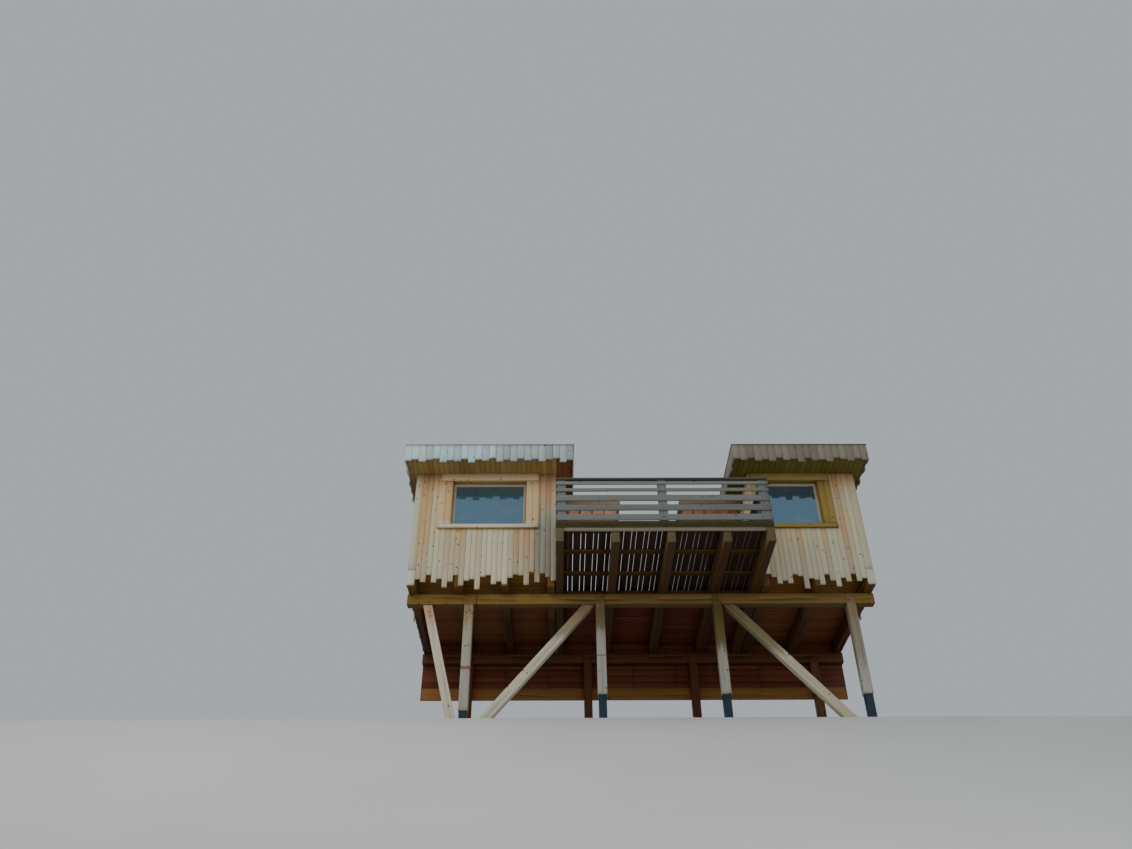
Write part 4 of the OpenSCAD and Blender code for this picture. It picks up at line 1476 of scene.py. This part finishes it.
@dataclass
class Cabin:
    """One cabin: cladding, casings, window frames, soffit, fascia, roof sheet and floor."""

    side: Side
    seed: int
    board_w: float = 0.108
    fascia_w: float = 0.147
    board_gap: float = 0.003
    ragged: float = 0.44
    butt_z: float = 3.03
    butt_w: float = 0.14
    pair_w: float = 0.2
    soffit_w: float = 0.11
    floor_w: float = 0.14
    floor_gap: float = 0.004
    reveal_t: float = 0.008
    nail_r: float = 0.004
    nail_h: float = 0.0012
    nail_in: float = 0.022
    nail_foot: float = 0.04
    nail_head: float = 0.06
    nail_rows: int = 5
    fascia_nails: tuple[float, float] = (0.06, 0.27)
    frame_profile: tuple[tuple[float, float], ...] = ((0, 0), (0.046, 0), (0.050, 0.004), (0.050, 0.010),
                                                      (0.066, 0.018), (0.070, 0.021), (0.070, 0.050),
                                                      (0, 0.050))
    clad_cut: Cut = Cut(chamfer=0.0025, ring_step=0.4, sway_across=0.0006, sway_out=0.0016, skew=0.035)
    casing_cut: Cut = Cut(chamfer=0.003, ring_step=0.4, sway_across=0.0006, sway_out=0.001)
    thin_cut: Cut = Cut(chamfer=0.002, ring_step=0.6, sway_across=0.0004, sway_out=0.0008)

    def build(self) -> None:
        """Make the cabin's pieces from the outside in."""
        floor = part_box(f"{self.side}_floor")[1][2]
        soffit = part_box(f"{self.side}_soffit")[0][2]
        self.boards("cladding", self.board_w, CLADDING,
                    np.linspace(floor + self.nail_foot, soffit - self.nail_head, self.nail_rows))
        self.boards("fascia", self.fascia_w, FASCIA, soffit + np.array(self.fascia_nails))
        self.casings()
        self.reveals()
        self.window_frames()
        self.soffit()
        self.floor()
        Roof(self.side).build()
        for node in ("front_wall", "rear_wall", "outer_wall", "inner_wall"):
            dress(f"{self.side}_{node}", LINING)
        dress(f"{self.side}_window_panes", PANE)

    def boards(self, part: str, width: float, finish: Wood, nail_z: np.ndarray) -> None:
        """Upright boards in place of the ragged sheets of a node, and their nails.

        A line up through the middle of each board gives its ends, and where it passes an opening,
        the opening's foot and head. A level line through the opening then gives its sides.

        Args:
            part: The node's name without the side, which also names the material slot.
            width: The wanted width of a board.
            finish: Their wood.
            nail_z: Heights of the rows of nails.
        """
        node = f"{self.side}_{part}"
        box = np.array(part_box(node))
        pieces, nails, ways = [], [], []
        for sheet in solids(node):
            out = int(np.argmin(sheet[1] - sheet[0]))
            boards = self.sheet_boards(node, sheet, 1 - out, width)
            pieces.append(boards)
            far = int(sheet[:, out].mean() > box[:, out].mean())
            way = np.eye(3)[out] * (2 * far - 1)
            spots = self.nail_spots(boards, 1 - out, nail_z)
            spots[:, out] = sheet[far, out] - way[out] * self.clad_cut.sway_out
            nails.append(spots)
            ways.append(np.broadcast_to(way, spots.shape))
        lay(f"{node}_boards", np.concatenate(pieces), finish, f"{part}_timber", node, along=2,
            cut=self.clad_cut, seed=self.seed + len(part))
        heads(f"{node}_nails", np.concatenate(nails), np.concatenate(ways), self.nail_r, self.nail_h)

    def nail_spots(self, boards: np.ndarray, axis: int, nail_z: np.ndarray) -> np.ndarray:
        """Two nails in each board at each height that it covers.

        Args:
            boards: The boards' boxes, (N, 2, 3).
            axis: The level axis across them.
            nail_z: Heights of the rows.

        Returns:
            Places of the nails, (M, 3).
        """
        ends = np.stack([boards[:, 0, axis] + self.nail_in, boards[:, 1, axis] - self.nail_in])
        across, z = np.broadcast_arrays(ends[:, :, None], nail_z)
        foot, head = boards[:, 0, 2, None] + self.nail_in, boards[:, 1, 2, None] - self.nail_in
        wide = (np.ptp(boards[:, :, axis], axis=1) > 3 * self.nail_in)[:, None]
        kept = np.broadcast_to((foot < nail_z) & (head > nail_z) & wide, z.shape)
        spots = np.zeros((int(kept.sum()), 3))
        spots[:, axis], spots[:, 2] = across[kept], z[kept]
        return spots

    def split_sheet(self, node: str, sheet: np.ndarray, axis: int, width: float) -> np.ndarray:
        """Split a sheet where its low edge steps from the end of one board to the next.

        Args:
            node: The CAD node that holds the sheet.
            sheet: The sheet's box, (2, 3).
            axis: The level axis across its boards.
            width: The wanted width of a board, for a sheet whose low edge is level.

        Returns:
            The boards' boxes at the sheet's full height, (N, 2, 3).
        """
        points, _ = corners(node)
        inside = ((points > sheet[0] - TINY) & (points < sheet[1] + TINY)).all(axis=1)
        low = points[inside & (points[:, 2] < sheet[0, 2] + self.ragged)]
        edges = np.unique(np.round(low[:, axis], 4))
        if 2 * len(edges) < np.ptp(sheet[:, axis]) / width:
            return split_box(sheet, axis, width, self.board_gap)
        boards = np.repeat(sheet[None], len(edges) - 1, axis=0)
        boards[:, 0, axis] = edges[:-1] + self.board_gap / 2
        boards[:, 1, axis] = edges[1:] - self.board_gap / 2
        return boards

    def sheet_boards(self, node: str, sheet: np.ndarray, axis: int, width: float) -> np.ndarray:
        """Boards of one sheet.

        Args:
            node: The CAD node that holds the sheet.
            sheet: The sheet's box, (2, 3).
            axis: The level axis across its boards.
            width: The wanted width of a board.

        Returns:
            The boards' boxes, (N, 2, 3), split at an opening and at the corner board's butt joint.
        """
        found = []
        middle = sheet.mean(axis=0)
        for box in self.split_sheet(node, sheet, axis, width):
            start = middle.copy()
            start[axis] = box[:, axis].mean()
            start[2] = sheet[0, 2] - OUTSIDE
            ends = crossings(node, start, 2)
            for low, high in zip(ends[::2], ends[1::2]):
                board = box.copy()
                board[:, 2] = low, high
                found.append(board)
        boards = np.array(found)
        stubs = boards[:0]
        if sheet[0, 2] < self.butt_z:
            corner = np.ptp(boards[:, :, axis], axis=1) > self.butt_w
            stubs = boards[corner].copy()
            stubs[:, 1, 2] = self.butt_z - self.board_gap
            boards[corner, 0, 2] = self.butt_z
        lintels = boards[:, 0, 2][boards[:, 0, 2] > middle[2]]
        if len(lintels):
            foot, head = float(boards[:, 1, 2].min()), float(lintels.max())
            level = middle.copy()
            level[axis], level[2] = sheet[0, axis] - OUTSIDE, (foot + head) / 2
            boards = self.clip(boards, axis, crossings(node, level, axis)[1:3], foot, head)
        return np.concatenate([boards, stubs])

    def clip(self, boards: np.ndarray, axis: int, sides: list[float], foot: float,
             head: float) -> np.ndarray:
        """Cut back the boards that stand beside an opening.

        Args:
            boards: The boards' boxes.
            axis: The level axis across them.
            sides: The opening's two sides on that axis.
            foot: Its lowest level.
            head: Its highest level.

        Returns:
            The boxes, where a board that would reach into the opening is cut into three.
        """
        tall = (boards[:, 0, 2] < foot) & (boards[:, 1, 2] > head)
        into = tall & (boards[:, 1, axis] > sides[0]) & (boards[:, 0, axis] < sides[1])
        below, beside, above = boards[into].copy(), boards[into].copy(), boards[into].copy()
        below[:, 1, 2] = foot
        beside[:, 0, 2], beside[:, 1, 2] = foot, head
        above[:, 0, 2] = head
        left = beside[:, 0, axis] < sides[0]
        beside[:, 1, axis] = np.where(left, sides[0], beside[:, 1, axis])
        beside[:, 0, axis] = np.where(left, beside[:, 0, axis], sides[1])
        return np.concatenate([boards[~into], below, beside, above])

    def casings(self) -> None:
        """Casing boards: the wide ones beside the windows are two boards side by side."""
        parts = []
        for box in solids(f"{self.side}_casings"):
            size = box[1] - box[0]
            pair = size[2] > size[0] > self.pair_w
            parts.append(split_box(box, 0, size[0] / 2 if pair else size[0], self.board_gap))
        lay(f"{self.side}_casing_boards", np.concatenate(parts), CASING, "casing_timber",
            f"{self.side}_casings", cut=self.casing_cut, seed=self.seed + 3)

    def reveals(self) -> None:
        """Thin boards that line each window opening in front of its frame."""
        low, high = (np.array(c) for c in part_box(f"{self.side}_window_frames"))
        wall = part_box(f"{self.side}_cladding")
        t = self.reveal_t
        parts = []
        for frames in solids(f"{self.side}_window_frames"):
            front = frames[0, 1] < (low[1] + high[1]) / 2
            near, far = (wall[0][1], frames[0, 1]) if front else (frames[1, 1], wall[1][1])
            parts += [[[low[0], near, high[2] - t], [high[0], far, high[2]]],
                      [[low[0], near, low[2]], [high[0], far, low[2] + t]],
                      [[low[0], near, low[2] + t], [low[0] + t, far, high[2] - t]],
                      [[high[0] - t, near, low[2] + t], [high[0], far, high[2] - t]]]
        lay(f"{self.side}_window_reveals", np.array(parts), CASING, "soffit_timber", cut=self.thin_cut,
            seed=self.seed + 4)

    def window_frames(self) -> None:
        """Mitred frames: a stepped profile carried round each window.

        The grain runs round the frame, and each of its four bars has its own tone.
        """
        profile = np.array(self.frame_profile)
        inward = np.array([[1, 0, 1], [-1, 0, 1], [-1, 0, -1], [1, 0, -1]], float)
        rings = []
        for box in solids(f"{self.side}_window_frames"):
            back = int(box[0, 1] > 0)
            x, z = box[[0, 1, 1, 0], 0], box[[0, 0, 1, 1], 2]
            path = np.stack([x, np.full(4, box[back, 1]), z], axis=1)
            rings.append(carried_ring(path, inward, [0, 1 - 2 * back, 0], profile))
        index = numbered((len(rings), *rings[0].shape[:2]))
        points = np.stack(rings).reshape(-1, 3)
        bar = np.tile(np.repeat([0, 1, 2, 3], len(profile)), len(rings))
        grain = np.stack([points[:, 0] + points[:, 2], points[:, 1] + 0.3, 0.05 + 0.01 * bar], axis=1)
        board = np.stack([0.3 + 0.1 * bar, 0.5 + 0 * bar, 0.5 + 0 * bar], axis=1)
        piece = make_mesh(f"{self.side}_window_frame_bars", points,
                          [tube_faces(np.concatenate([index, index[:, :1]], axis=1))],
                          {"grain": grain, "board": board})
        outward(piece)
        seat(piece, FRAME, "frame_timber", f"{self.side}_window_frames")

    def soffit(self) -> None:
        """Narrow boards from front to back under the roof."""
        boards = split_box(solids(f"{self.side}_soffit")[0], 0, self.soffit_w, self.board_gap)
        lay(f"{self.side}_soffit_boards", boards, SOFFIT, "soffit_timber", f"{self.side}_soffit", along=1,
            cut=self.thin_cut, seed=self.seed + 5)

    def floor(self) -> None:
        """Two layers of floor boards, the lower one across the bearers and the upper one along them."""
        box = solids(f"{self.side}_floor")[0]
        under, over = box.copy(), box.copy()
        under[1, 2] = over[0, 2] = float(box[:, 2].mean())
        lay(f"{self.side}_floor_under_boards", split_box(under, 1, self.floor_w, self.floor_gap), FLOOR,
            "floor_panel", f"{self.side}_floor", along=0, cut=self.casing_cut, seed=self.seed + 6)
        lay(f"{self.side}_floor_top_boards", split_box(over, 0, self.floor_w, self.board_gap), CASING,
            "floor_panel", along=1, cut=self.thin_cut, seed=self.seed + 7)


@dataclass
class Roof:
    """Roof sheet of one cabin: strips that overlap, with a rounded drip edge."""

    side: Side
    across: int = 60
    deep: int = 96
    strip_w: float = 0.95
    lap_t: float = 0.004
    lap_edge: float = 30.0
    wave_t: float = 0.0012
    edge_r: float = 0.02
    edge_drop: float = 0.006
    spare: float = 0.0065

    def build(self) -> None:
        """Make the sheet from its top, its flat underside and the walls between them.

        The height is a step down of a few millimetres at each strip plus two slow sines, and at the
        edge the surface turns down over a small radius.
        """
        low, high = (np.array(c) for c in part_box(f"{self.side}_roof"))
        low[2] = solids(f"{self.side}_fascia")[0, 1, 2]
        x, y = np.meshgrid(np.linspace(0, 1, self.across), np.linspace(0, 1, self.deep), indexing="ij")
        wide, long = high[:2] - low[:2]
        px, py = low[0] + x * wide, low[1] + y * long
        strip = ((py - low[1]) / self.strip_w) % 1.0
        lift = self.lap_t * np.clip((strip - 0.02) * self.lap_edge, 0, 1) * (1 - strip * 0.8)
        ripple = self.wave_t * np.sin(px * 5.1 + np.sin(py * 2.3)) * np.sin(py * 3.7 + 1.3)
        edge = np.minimum.reduce([x * wide, (1 - x) * wide, y * long, (1 - y) * long])
        top = high[2] - self.spare + lift + ripple - self.edge_drop * np.exp(-(edge / self.edge_r) ** 2)
        points = np.stack([np.stack([px, py, np.minimum(top, high[2])], axis=-1),
                           np.stack([px, py, np.full_like(px, low[2])], axis=-1)])
        index, under = numbered(points.shape[:3])
        rim, foot = (np.concatenate([grid[:-1, 0], grid[-1, :-1], grid[:0:-1, -1], grid[0, :0:-1]])
                     for grid in (index, under))
        walls = np.stack([rim, foot, np.roll(foot, -1), np.roll(rim, -1)], axis=-1)
        piece = make_mesh(f"{self.side}_roof_sheet", points.reshape(-1, 3),
                          [grid_faces(index), grid_faces(under)[:, [0, 3, 2, 1]], walls])
        outward(piece)
        seat(piece, COVER, "roof_cover", f"{self.side}_roof")


def dress(node: str, finish: Finish) -> None:
    """Give a CAD node that stays its own finish.

    Args:
        node: The node's name.
        finish: Its finish.
    """
    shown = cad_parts[node]
    shown.data.materials.clear()
    shown.data.materials.append(Paintbox.get(finish))
    LOG.info("%s: kept, in %s", node, finish.name)


# Studio


@dataclass(frozen=True)
class Lamp:
    """A square area light of a size in metres and a power in watts, aimed at a point."""

    name: str
    place: Triple
    aim: Triple
    size: float
    power: float
    tint: Triple

    def build(self) -> None:
        """Hang the lamp."""
        data = bpy.data.lights.new(self.name, "AREA")
        data.size, data.energy, data.color = self.size, self.power, self.tint
        lamp = bpy.data.objects.new(self.name, data)
        lamp.location = self.place
        lamp.visible_glossy = lamp.visible_camera = False
        lamp.rotation_euler = (Vector(self.aim) - Vector(self.place)).to_track_quat("-Z", "Y").to_euler()
        bpy.context.scene.collection.objects.link(lamp)


@dataclass
class Studio:
    """A pale ground that falls away in front of the posts, soft light and the photograph's view.

    The lamps are a soft key from the front left, a weak fill from below on the right and a small one
    under the door canopies.
    """

    slope_deg: float = 30.0
    bend: float = 0.3
    edge_out: float = 0.12
    reach: float = 70.0
    finest: float = 0.02
    steps: tuple[int, int, int] = (60, 12, 24)
    lens_px: float = 1000.0
    image_w: float = 1132.0
    sensor_mm: float = 36.0
    clip: tuple[float, float] = (0.1, 500.0)
    eye: Triple = (-1.625, -18.858, -6.91)
    yaw_deg: float = 0.48
    pitch_deg: float = 37.68
    roll_deg: float = -0.39
    even: Triple = (0.80, 0.86, 0.92)
    even_power: float = 0.55
    lamps: tuple[Lamp, ...] = (
        Lamp("key_light", (-9.0, -13.0, 9.27), (-2.5, 0.0, 3.87), 9.0, 900.0, (1.0, 0.96, 0.88)),
        Lamp("low_fill", (4.0, -16.0, -2.73), (0.0, 0.0, 2.87), 8.0, 260.0, (1.0, 0.97, 0.93)),
        Lamp("door_glow", (-0.2, -1.5, 3.8), (-0.7, 0.4, 5.2), 0.5, 16.0, (1.0, 0.92, 0.82)))

    def build(self) -> None:
        """Make ground, lights and camera."""
        self.ground()
        self.lights()
        self.camera()

    def ground(self) -> None:
        """The ground: level behind a line just before the front posts.

        Below that line it follows minus the slope's tangent times (root of distance squared plus bend
        squared, less the bend), so that it rounds off softly.
        """
        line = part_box("post_shoes")[0][1] - self.edge_out
        front, back, side = self.steps
        steps = np.concatenate([-np.geomspace(self.reach, self.finest, front),
                                np.linspace(0, self.reach, back)])
        x, d = np.meshgrid(np.linspace(-self.reach, self.reach, side), steps, indexing="ij")
        fall = math.tan(math.radians(self.slope_deg)) * (np.sqrt(d ** 2 + self.bend ** 2) - self.bend)
        points = np.stack([x, line + d, np.where(d < 0, -fall, 0.0)], axis=-1)
        ground = make_mesh("studio_ground", points.reshape(-1, 3), [grid_faces(numbered(x.shape))])
        ground.data.materials.append(Paintbox.get(GROUND))

    def lights(self) -> None:
        """The lamps, and a weak even light from all round."""
        world = bpy.data.worlds.new("studio_light")
        bpy.context.scene.world = world
        world.use_nodes = True
        background = world.node_tree.nodes["Background"]
        background.inputs["Color"].default_value = (*self.even, 1.0)
        background.inputs["Strength"].default_value = self.even_power
        for lamp in self.lamps:
            lamp.build()

    def camera(self) -> None:
        """The camera: it looks along +Y, turned by yaw, raised by pitch and leaned by roll."""
        yaw, pitch, roll = (math.radians(a) for a in (self.yaw_deg, self.pitch_deg, self.roll_deg))
        ahead = Vector((math.sin(yaw) * math.cos(pitch), math.cos(yaw) * math.cos(pitch), math.sin(pitch)))
        level = Vector((math.cos(yaw), -math.sin(yaw), 0.0))
        over = level.cross(ahead)
        right = level * math.cos(roll) + over * math.sin(roll)
        up = over * math.cos(roll) - level * math.sin(roll)
        data = bpy.data.cameras.new("photo_camera")
        data.sensor_width, data.lens = self.sensor_mm, self.lens_px / self.image_w * self.sensor_mm
        data.clip_start, data.clip_end = self.clip
        camera = bpy.data.objects.new("photo_camera", data)
        turn = Matrix((right, up, -ahead)).transposed()
        camera.matrix_world = Matrix.Translation(self.eye) @ turn.to_4x4()
        bpy.context.scene.collection.objects.link(camera)
        bpy.context.scene.camera = camera


def main() -> None:
    """Build the studio and each part of the house in order."""
    logging.basicConfig(level=logging.INFO, format="%(name)s %(message)s")
    Studio().build()
    PostFrame().build()
    Deck().build()
    Balustrades().build()
    Skirt().build()
    DoorCanopies().build()
    Cabin(Side.LEFT, seed=100).build()
    Cabin(Side.RIGHT, seed=200).build()


if __name__ == "__main__":
    main()
